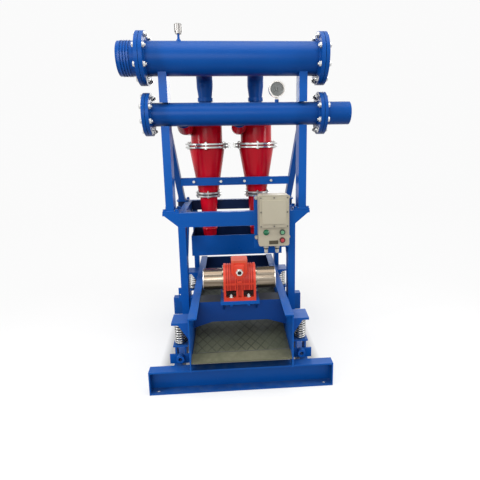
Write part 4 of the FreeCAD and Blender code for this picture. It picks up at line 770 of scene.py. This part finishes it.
def cloth_finish():
    """Woven wire: two sets of fine crossing waves over mud-stained olive, painted darker
    towards the back as shade, and dark in the grooves, where x/a + y/b or x/a - y/b is
    half way between whole numbers."""
    made, tree, shader = new_finish("screen_cloth")
    place = new_node(tree, "ShaderNodeTexCoord", {}).outputs["Object"]
    weave = [new_node(tree, "ShaderNodeTexWave", {"Vector": place, "Scale": 160.0, "Distortion": 0.0},
                      bands_direction=direction, wave_profile="SIN").outputs["Fac"]
             for direction in ("X", "Y")]
    cross = sum_of(tree, *weave, "MULTIPLY")
    stain = ranged(tree, noise_on(tree, place, 6.0, 6.0), 0.35, 0.7, 0.0, 1.0)
    grooves = []
    for sign in (1.0, -1.0):
        slope = sign / (DIAMOND[1] * math.cos(DECK_TILT))
        mix = new_node(tree, "ShaderNodeVectorMath", {0: place, 1: (1.0 / DIAMOND[0], slope, 0.0)},
                       operation="DOT_PRODUCT")
        phase = sum_of(tree, mix.outputs["Value"], 40.0 - slope * DECK_FRONT[1], "ADD")
        within = sum_of(tree, phase, 1.0, "MODULO")
        grooves.append(size_of(tree, sum_of(tree, within, 0.5, "SUBTRACT")))
    groove = ranged(tree, sum_of(tree, *grooves, "MINIMUM"), 0.035, 0.075, 1.0, 0.0)
    mud = ranged(tree, noise_on(tree, place, 5.0, 4.0), 0.40, 0.60, 0.2, 1.0)
    groove = sum_of(tree, groove, mud, "MULTIPLY")
    back = new_node(tree, "ShaderNodeSeparateXYZ", {0: place}).outputs["Y"]
    # Painted shade: the cloth darkens from the deck's front edge to 0.32 m back and stays dark beyond.
    deck_back_shade = ranged(tree, back, DECK_FRONT[1], DECK_FRONT[1] + 0.32, 0.0, 1.0)
    base = blended(tree, stain, (0.070, 0.078, 0.040), (0.125, 0.125, 0.075))
    base = blended(tree, deck_back_shade, base, (0.040, 0.050, 0.034))
    base = blended(tree, sum_of(tree, cross, 0.5, "MULTIPLY"), base, (0.20, 0.21, 0.15))
    base = blended(tree, sum_of(tree, groove, 0.8, "MULTIPLY"), base, (0.010, 0.014, 0.010))
    feed(tree, shader, {"Base Color": base, "Metallic": 0.2,
                        "Roughness": ranged(tree, stain, 0.0, 1.0, 0.45, 0.7),
                        "Normal": bumped(tree, cross, 0.5, 0.0006)})
    return made


screen_cloth = cloth_finish()
screen_frame = aged_finish("screen_frame", (0.05, 0.055, 0.04), (0.10, 0.10, 0.07), rough=0.55,
                           metal=0.4, dusty=0.3)
worn_lip = aged_finish("worn_lip", (0.088, 0.094, 0.050), (0.15, 0.145, 0.090), rough=0.5, metal=0.2,
                       dusty=0.3, mottled=0.8, size=2.0, dust=(0.25, 0.24, 0.16))
dress(["screen_panels"], screen_frame)
dress(["discharge_lip"], worn_lip)
for number, start in enumerate((0.0, PANEL_LENGTH + PANEL_GAP)):
    cloth = piece("screen_cloth_%d" % (number + 1), [quilted_cloth(start)], screen_cloth, "basket", 60.0)


# Vibrator motor
# Cast casing in orange-red enamel with ribs round its barrel, on four bright
# bolts, and a thin rolled stainless cup over the weights at each end.

# Axis, barrel under its ribs, block and foot of the casing. PLATE_X is where the
# end plates start, and WEB_HALF the wall between the bolt pockets.
MOTOR_Y = -0.338
MOTOR_Z = 0.632
BARREL_R = 0.0912
BLOCK_HALF = 0.090
BLOCK_LOW = 0.585
FOOT_TOP = 0.539
PLATE_X = 0.085
WEB_HALF = 0.022
RIB_TOP = 0.668
RIB_X = (-0.073, -0.059, -0.026, -0.014, 0.014, 0.026, 0.059, 0.073)
CABLE_BOX_HALF = 0.055
COVER_END = 0.226
GLAND_Z = 0.702
motor_enamel = aged_finish("motor_enamel", (0.64, 0.032, 0.012), (0.72, 0.060, 0.022), rough=0.36,
                           peel=0.35, mottled=0.6, size=2.0, relief=0.0008, specular=0.4,
                           dust=(0.5, 0.2, 0.14), edged=0.6)
lid_enamel = aged_finish("lid_enamel", (0.60, 0.085, 0.040), (0.64, 0.11, 0.055), rough=0.4, peel=0.2,
                         mottled=0.6, size=2.0, specular=0.4, dust=(0.5, 0.26, 0.2), edged=0.6)
pocket_shade = aged_finish("pocket_shade", (0.030, 0.005, 0.004), (0.015, 0.004, 0.003), rough=0.5,
                            mottled=0.9, size=4.0, dusty=0.05, edged=0.0, scratched=0.0)
machined = aged_finish("machined_steel", (0.35, 0.35, 0.36), (0.28, 0.28, 0.28), rough=0.35,
                       metal=1.0, size=4.0)


def rolled_stainless():
    """Sheet rolled along X: bands from noise stretched 40 times along the roll, both rolling grain and
    painted reflection of dark surroundings.
    """
    made = aged_finish("rolled_stainless", (0.37, 0.315, 0.25), (0.28, 0.235, 0.18), rough=0.24,
                       metal=1.0, mottled=0.5, peel=0.03, scratched=0.2, dusty=0.05, size=1.5, edged=0.0)
    tree = made.node_tree
    shader = tree.nodes["Principled BSDF"]
    at = new_node(tree, "ShaderNodeTexCoord", {}).outputs["Object"]
    noise = noise_on(tree, stretched(tree, at, (0.9, 36.0, 36.0)), 1.0, 4.0, 0.6)
    share = sum_of(tree, ranged(tree, noise, 0.42, 0.58, 0.0, 1.0), 0.75, "MULTIPLY")
    base = shader.inputs["Base Color"].links[0].from_socket
    feed(tree, shader, {"Base Color": blended(tree, share, base, (0.105, 0.072, 0.045))})
    return made


stainless = rolled_stainless()


def in_pocket(x, y, z):
    """Faces of the bolt pockets, between the foot, the block and the end plates, painted near black as
    shade.
    """
    deep = np.abs(y - MOTOR_Y) < BLOCK_HALF - 0.0015
    level = (z > FOOT_TOP + 0.0005) & (z < BLOCK_LOW - 0.0005)
    aside = np.abs(x)
    return deep & level & (aside > WEB_HALF + 0.0005) & (aside < PLATE_X - 0.0005)


def rib(x, over):
    """Rib 5 mm wide and 4 mm proud: straight up the block's front to the motor's axis,
    then round the barrel as y = y0 - r cos t, z = z0 + r sin t."""
    r = BARREL_R
    rise = np.linspace(BLOCK_LOW + 0.001, MOTOR_Z, 8)[:-1]
    end = math.pi if over else math.asin((RIB_TOP - MOTOR_Z) / r)
    t = np.linspace(0.0, end, 48 if over else 14)
    y = np.concatenate([np.full(7, -r), -r * np.cos(t)])
    z = np.concatenate([rise, MOTOR_Z + r * np.sin(t)])
    out = np.stack([0.0 * y, np.concatenate([np.full(7, -1.0), -np.cos(t)]),
                    np.concatenate([np.zeros(7), np.sin(t)])], -1)
    if over:
        y = np.concatenate([y, np.full(7, r)])
        z = np.concatenate([z, rise[::-1]])
        out = np.concatenate([out, np.broadcast_to((0.0, 1.0, 0.0), (7, 3))])
    path = np.stack([np.full(len(y), x), MOTOR_Y + y, z], -1)
    a = full_turn(14)
    ring = np.stack([0.0026 * np.sign(np.cos(a)) * np.abs(np.cos(a)) ** 0.5,
                     0.0004 + 0.0036 * np.sign(np.sin(a)) * np.abs(np.sin(a)) ** 0.6], -1)
    return skin(carried(path, np.broadcast_to((-1.0, 0.0, 0.0), path.shape), out, ring[None]))


def nose(half, low, high, back, front, edge):
    """Raised face that ends in a half circle below: rows at depth y, each the outline
    drawn in by an inset, so that the front edge is rounded."""
    t = np.linspace(0.0, math.pi, 25)
    bottom = np.stack([half * np.cos(t), low + half - half * np.sin(t)], -1)
    corner = np.linspace(0.0, math.pi / 2.0, 6)
    soft = 0.010
    left = np.stack([-half + soft - soft * np.cos(corner), high - soft + soft * np.sin(corner)], -1)
    right = left[::-1] * (-1.0, 1.0)
    outline = np.concatenate([bottom, left, right])
    centre = np.array([0.0, (low + high) / 2.0])
    depth = np.array([back, front + edge, front + 0.3 * edge, front])
    inset = np.array([0.0, 0.0, 0.3 * edge, edge])
    span = np.linalg.norm(outline - centre, axis=1)[None, :, None]
    drawn = centre + (outline - centre)[None] * (1.0 - inset[:, None, None] / span)
    y = np.broadcast_to(depth[:, None], drawn.shape[:2])
    return skin(np.stack([drawn[..., 0], y, drawn[..., 1]], -1)[:, ::-1])


def oval_plate(y, z):
    """Flat oval of 26 by 17 mm with a rounded edge: rows shrink by a share as they
    come forward."""
    turn = full_turn(30)
    rows = [(1.0, 0.010), (1.0, 0.0015), (0.9, 0.0002), (0.75, 0.0), (0.02, 0.0)]
    return skin(np.stack([np.stack([0.013 * k * np.cos(turn), np.full(30, y + back),
                                    z + 0.0085 * k * np.sin(turn)], -1) for k, back in rows]))


def between_ribs(x, y, z):
    """Faces of the barrel and the block between the end plates, under the ribs, painted darker as shade.
    """
    out = np.hypot(y - MOTOR_Y, z - MOTOR_Z)
    barrel = (z > MOTOR_Z) & (out < 0.0925) & (out > 0.088)
    level = (z < MOTOR_Z) & (z > BLOCK_LOW + 0.0005)
    front = level & (np.abs(np.abs(y - MOTOR_Y) - BLOCK_HALF) < 0.0006)
    return (barrel | front) & (np.abs(x) < PLATE_X - 0.0001)


def motor_piece(name, parts, finish, crease=35.0):
    """Piece that rides on the basket, in the finish given."""
    piece(name, parts, finish, "basket", crease)


rib_shade_enamel = aged_finish("rib_shade_enamel", (0.42, 0.016, 0.008), (0.50, 0.03, 0.014), rough=0.42,
                            mottled=0.7, size=3.0, specular=0.3, dust=(0.4, 0.14, 0.1))
bright_nickel = aged_finish("bright_nickel", (0.74, 0.72, 0.68), (0.60, 0.58, 0.54), rough=0.2,
                            metal=1.0, size=4.0)
bore_shade = aged_finish("bore_shade", (0.006, 0.006, 0.006), (0.012, 0.011, 0.010), rough=0.8,
                         dusty=0.0, edged=0.0)
rim_highlight_steel = aged_finish("rim_highlight_steel", (0.78, 0.76, 0.72), (0.66, 0.63, 0.58), rough=0.18,
                         metal=1.0, size=3.0, edged=0.0)
dress(["motor_casing"], motor_enamel, (in_pocket, pocket_shade), (between_ribs, rib_shade_enamel))
dress(["motor_terminal_cover"], lid_enamel)
dress(["motor_end_covers"], stainless)
dress(["motor_gland"], bright_nickel)
dress(["motor_rotor", "motor_stator"], machined)
bore_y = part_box("motor_gland")[0].y + 0.008
bore = lathed([(0.0001, 0.0), (0.0118, 0.0), (0.0118, 0.001), (0.0001, 0.001)],
              (0.0, bore_y, GLAND_Z), (0, 1, 0), 24)
motor_piece("motor_gland_bore", [bore], bore_shade)
motor_piece("motor_ribs", [rib(x, abs(x) > CABLE_BOX_HALF) for x in RIB_X], motor_enamel)
boss = [nose(0.031, 0.650, 0.748, -0.405, -0.431, 0.004), oval_plate(-0.4340, 0.638)]
motor_piece("motor_terminal_nose", boss, motor_enamel, 40.0)
# The rolled bead at each cup's end is real; its steel, paler than the cup's, is a painted highlight.
rim_profile = [(0.066, 0.0), (0.0678, 0.0004), (0.0688, 0.0018), (0.0688, 0.0032), (0.0678, 0.0046),
               (0.066, 0.005)]
rims = [lathed(rim_profile, (x, MOTOR_Y, MOTOR_Z), (1, 0, 0), 72)
        for x in (-COVER_END + 0.0005, COVER_END - 0.0055)]
motor_piece("cover_rims", rims, rim_highlight_steel)
motor_bolts = []
for x in (-0.054, 0.054):
    for y in (MOTOR_Y - 0.078, MOTOR_Y + 0.078):
        motor_bolts += bolted(0.0248, 0.0126, (x, y, FOOT_TOP), (0, 0, 1), tip=0.004)
motor_piece("motor_foot_bolts", motor_bolts, zinc_plate, 25.0)


# Pressure gauge and vent
# A steel case with a bright rim, a plain dial under clear glass and a black
# pointer. The vent is a small turned valve on a painted stem on the upper pipe.

# Nothing stands in the dial's recess but the pointer's pin, so the stem's end is
# cut from it. The recess has its flat bottom at DIAL_Y and a radius of DIAL_R.
GAUGE = np.array([0.293, 0.043, 1.827])
DIAL_Y = 0.057
DIAL_R = 0.046
STEM_HALF = 0.009
PIN_R = 0.004
VENT_SEAT = 2.1745
gauge_steel = aged_finish("gauge_steel", (0.62, 0.60, 0.57), (0.50, 0.48, 0.45), rough=0.2, metal=1.0,
                          size=4.0)
valve_steel = aged_finish("valve_steel", (0.32, 0.31, 0.30), (0.22, 0.21, 0.20), rough=0.28, metal=1.0,
                          size=4.0)
pointer_paint = aged_finish("pointer_paint", (0.01, 0.01, 0.01), (0.02, 0.02, 0.02), rough=0.6,
                            dusty=0.0, specular=0.1, edged=0.0, scratched=0.0)
dial_grey = aged_finish("dial_grey", (0.38, 0.38, 0.37), (0.31, 0.31, 0.30), rough=0.4, dusty=0.0,
                        scratched=0.0)


def vent_stem(x, y, z):
    """Painted stem under the valve."""
    return z < VENT_SEAT


dress(["vent_valve"], valve_steel, (vent_stem, blue_enamel))
dress(["gauge_pointer"], pointer_paint)
opened = less_block("gauge_case", (GAUGE[0] - STEM_HALF, GAUGE[1], GAUGE[2] - DIAL_R + 0.0008),
                    (GAUGE[0] + STEM_HALF, DIAL_Y, GAUGE[2] - PIN_R))
case = piece("gauge_case_open", [opened], gauge_steel, "skid")
case.data.materials.append(dial_grey)
for face in case.data.polygons:
    away = math.hypot(face.center.x - GAUGE[0], face.center.z - GAUGE[2])
    face.material_index = int(abs(face.center.y - DIAL_Y) < 0.0006 and away < DIAL_R)
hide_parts("gauge_case")


def clear_glass():
    """Plain clear glass, a little rough."""
    made, tree, shader = new_finish("clear_glass")
    feed(tree, shader, {"Base Color": (0.95, 0.97, 0.97, 1.0), "Roughness": 0.03,
                        "Transmission Weight": 1.0, "IOR": 1.45})
    return made


dress(["gauge_glass"], clear_glass())


# Control box
# Cast housing in beige hammered enamel with a bolted cover, a green lamp, two
# buttons in dark guard rings, and two cable inlets below with no cables.

# Middle of the box, of its cover and of its ears, its front face and its fittings
BOX_X = 0.246
COVER_Z = 1.015
EARS_Z = 0.9575
FACE_Y = -0.1453
BUTTON_X = 0.302
START_Z = 0.874
STOP_Z = 0.819
GUARD_R = 0.0195
BOLT_R = 0.0062
EAR_BOLT_R = 0.0078
box_enamel = aged_finish("box_enamel", (0.50, 0.46, 0.35), (0.44, 0.40, 0.30), rough=0.42, peel=0.5,
                         mottled=0.5, dusty=0.1, size=3.0, relief=0.0006, edged=0.5)
guard_ring = aged_finish("guard_ring", (0.02, 0.035, 0.025), (0.03, 0.05, 0.035), rough=0.35, dusty=0.05)
stop_guard = aged_finish("stop_guard", (0.06, 0.006, 0.008), (0.09, 0.012, 0.012), rough=0.35, dusty=0.05)
cover_side_shade = aged_finish("cover_side_shade", (0.22, 0.19, 0.13), (0.13, 0.11, 0.08), rough=0.6, dusty=0.0,
                          edged=0.0)
dull_bolt = aged_finish("dull_bolt", (0.20, 0.19, 0.17), (0.12, 0.11, 0.10), rough=0.5, metal=0.8,
                        size=4.0)
label_bare = aged_finish("label_bare", (0.05, 0.04, 0.02), (0.08, 0.065, 0.035), rough=0.4, dusty=0.05)
lamp_green = aged_finish("lamp_green", (0.003, 0.13, 0.05), (0.006, 0.18, 0.07), rough=0.15, dusty=0.0,
                         scratched=0.0)
start_green = aged_finish("start_green", (0.12, 0.34, 0.18), (0.18, 0.42, 0.24), rough=0.3, dusty=0.0)
stop_red = aged_finish("stop_red", (0.42, 0.035, 0.045), (0.50, 0.06, 0.07), rough=0.3, dusty=0.0)
gland_white = aged_finish("gland_white", (0.66, 0.64, 0.58), (0.56, 0.54, 0.48), rough=0.35, peel=0.3,
                          dusty=0.1)
GLAND_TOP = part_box("box_glands")[1].z


def on_ring(height):
    """Test for the faces of the guard ring at one height on the box's front."""
    def test(x, y, z):
        """Faces nearer the ring's middle than its radius."""
        return (y < FACE_Y) & (np.hypot(x - BUTTON_X, z - height) < GUARD_R)
    return test


def on_label(x, y, z):
    """Faces of the bare plate left of the buttons."""
    aside = (x > 0.211) & (x < 0.275)
    return (y < FACE_Y) & aside & (z > 0.789) & (z < 0.817)


def both_sides(values, middle, away, spread):
    """Values that lie a distance away from a middle, to within a spread."""
    return np.abs(np.abs(values - middle) - away) < spread


def on_ear_bolt(x, y, z):
    """Bolt heads in front of the four ears."""
    aside = both_sides(x, BOX_X, 0.112, EAR_BOLT_R)
    return aside & both_sides(z, EARS_Z, 0.1405, EAR_BOLT_R) & (y < -0.0552)


def on_cover_bolt(x, y, z):
    """Eight bolt heads round the cover, three to a side."""
    aside = both_sides(x, BOX_X, 0.089, BOLT_R)
    above = both_sides(z, COVER_Z, 0.097, BOLT_R)
    middle = both_sides(x, BOX_X, 0.0, BOLT_R)
    level = both_sides(z, COVER_Z, 0.0, BOLT_R)
    return (y < -0.1592) & ((aside & above) | (aside & level) | (middle & above))


def on_cover_side(x, y, z):
    """Thin sides of the cover and of its raised panel, painted dark as a shade line."""
    low_step = (y > -0.1585) & (y < -0.1452)
    return low_step | ((y > -0.1655) & (y < -0.1595) & (z < 0.938))


def on_gland_band(x, y, z):
    """Dark seal between the nuts of each cable inlet."""
    return (z < GLAND_TOP - 0.024) & (z > GLAND_TOP - 0.035)


dress(["box_housing"], box_enamel, (on_ring(START_Z), guard_ring), (on_ring(STOP_Z), stop_guard),
      (on_label, label_bare), (on_ear_bolt, zinc_plate))
dress(["box_cover"], box_enamel, (on_cover_side, cover_side_shade), (on_cover_bolt, dull_bolt))
dress(["box_glands"], gland_white, (on_gland_band, guard_ring))
dress(["box_lamp"], lamp_green)
dress(["box_start_button"], start_green)
dress(["box_stop_button"], stop_red)


# Floor, light and camera
# A pale studio sweep, soft light from above and in front, and the camera where
# the photograph was taken: a little left of the middle and looking down.


def studio_sweep():
    """Floor that curves up into a wall: y runs back, then a quarter circle, then up."""
    flat_end = 5.0
    radius = 3.0
    flat = np.linspace(-9.0, flat_end, 12)
    bend = np.linspace(0.0, math.pi / 2.0, 14)[1:]
    rise = np.linspace(radius, 12.0, 6)[1:]
    y = np.concatenate([flat, flat_end + radius * np.sin(bend), np.full(5, flat_end + radius)])
    z = np.concatenate([0.0 * flat, radius - radius * np.cos(bend), rise])
    x = np.linspace(-14.0, 14.0, 12)
    shape = (len(y), len(x))
    grid = np.stack([np.broadcast_to(x, shape), np.broadcast_to(y[:, None], shape),
                     np.broadcast_to(z[:, None], shape)], -1)
    points, faces = skin(grid, ring=False)
    mesh = bpy.data.meshes.new("studio_sweep")
    mesh.from_pydata(points.tolist(), [], faces[0].tolist())
    mesh.shade_smooth()
    thing = bpy.data.objects.new("studio_sweep", mesh)
    bpy.context.scene.collection.objects.link(thing)
    return thing


def seen_directly(tree):
    """1 for rays from the camera, a mirror or glass, and 0 for rays that light things."""
    path = new_node(tree, "ShaderNodeLightPath", {}).outputs
    seen = sum_of(tree, path["Is Camera Ray"], path["Is Glossy Ray"], "MAXIMUM")
    return sum_of(tree, seen, path["Is Transmission Ray"], "MAXIMUM")


def pale_floor():
    """Matt pale floor with the object's shadow, lifted to white where it is seen around
    the skid, left darker inside the skid's footprint as a painted shadow, and all white
    from 2.6 m out from the middle."""
    made, tree, shader = new_finish("pale_floor")
    at = new_node(tree, "ShaderNodeTexCoord", {}).outputs["Object"]
    away = new_node(tree, "ShaderNodeVectorMath", {0: stretched(tree, at, (1.0, 1.0, 0.0))},
                    operation="LENGTH").outputs["Value"]
    near = ranged(tree, away, 0.9, 2.6, 1.0, 0.0)
    rail_low, rail_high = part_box("skid_front_rail")
    axes = new_node(tree, "ShaderNodeSeparateXYZ", {0: at}).outputs
    past = [ranged(tree, size_of(tree, axes[axis]), 0.88 * half, 0.99 * half, 0.0, 1.0)
            for axis, half in (("X", rail_high.x), ("Y", -rail_low.y))]
    # Painted shadow: inside the skid's footprint the glow drops to a quarter.
    around = ranged(tree, sum_of(tree, *past, "MAXIMUM"), 0.0, 1.0, 0.25, 1.0)
    glow = sum_of(tree, ranged(tree, near, 0.0, 1.0, 0.95, 0.56), around, "MULTIPLY")
    feed(tree, shader, {"Base Color": blended(tree, near, (0.02, 0.02, 0.02), (0.42, 0.42, 0.42)),
                        "Emission Color": (1.0, 1.0, 1.0, 1.0),
                        "Emission Strength": sum_of(tree, glow, seen_directly(tree), "MULTIPLY"),
                        "Roughness": 0.9, "Specular IOR Level": 0.0})
    return made


sweep = studio_sweep()
sweep.data.materials.append(pale_floor())


def soft_light(name, place, target, size, watts):
    """Area light of (width, height) that faces a point."""
    data = bpy.data.lights.new(name, "AREA")
    data.shape = "RECTANGLE"
    data.size, data.size_y = size
    data.energy = watts
    thing = bpy.data.objects.new(name, data)
    thing.location = place
    thing.rotation_euler = (Vector(target) - Vector(place)).to_track_quat("-Z", "Y").to_euler()
    bpy.context.scene.collection.objects.link(thing)


soft_light("left_light", (-3.4, -1.6, 2.4), (0, 0.2, 1.1), (0.7, 2.6), 75)
soft_light("right_light", (3.6, -1.2, 2.2), (0, 0.2, 1.1), (0.7, 2.6), 60)
soft_light("front_light", (-0.8, -4.6, 2.6), (0, 0, 0.9), (2.6, 2.0), 70)
soft_light("back_light", (0.8, 4.6, 2.8), (0, 0, 1.0), (2.6, 2.0), 60)
soft_light("top_light", (0.2, -0.6, 5.0), (0, 0, 1.0), (3.0, 3.0), 85)

world = bpy.data.worlds.new("studio")
bpy.context.scene.world = world
world.use_nodes = True
air = world.node_tree
backdrop = ranged(air, seen_directly(air), 0.0, 1.0, 0.50, 0.95)
feed(air, air.nodes["Background"], {"Color": (1.0, 1.0, 1.0, 1.0), "Strength": backdrop})

YAW = math.radians(3.86)
PITCH = math.radians(10.90)
ROLL = math.radians(-0.81)
FOCAL_PX = 380.05
FRAME_PX = 480.0
AXIS_PX = (255.53, 211.45)
SENSOR = 36.0
CAMERA_AT = Vector((-0.04545, -2.62968, 1.49998))
ahead = Vector((math.sin(YAW) * math.cos(PITCH), math.cos(YAW) * math.cos(PITCH), -math.sin(PITCH)))
level = Vector((math.cos(YAW), -math.sin(YAW), 0.0))
upward = level.cross(ahead)
right = level * math.cos(ROLL) + upward * math.sin(ROLL)
top = upward * math.cos(ROLL) - level * math.sin(ROLL)
camera_data = bpy.data.cameras.new("camera")
camera_data.sensor_width = SENSOR
camera_data.lens = SENSOR * FOCAL_PX / FRAME_PX
camera_data.shift_x = 0.5 - AXIS_PX[0] / FRAME_PX
camera_data.shift_y = AXIS_PX[1] / FRAME_PX - 0.5
camera = bpy.data.objects.new("camera", camera_data)
camera.matrix_world = Matrix((
    (right.x, top.x, -ahead.x, CAMERA_AT.x),
    (right.y, top.y, -ahead.y, CAMERA_AT.y),
    (right.z, top.z, -ahead.z, CAMERA_AT.z),
    (0.0, 0.0, 0.0, 1.0)))
bpy.context.scene.collection.objects.link(camera)
bpy.context.scene.camera = camera
bpy.context.scene.view_settings.view_transform = "Standard"
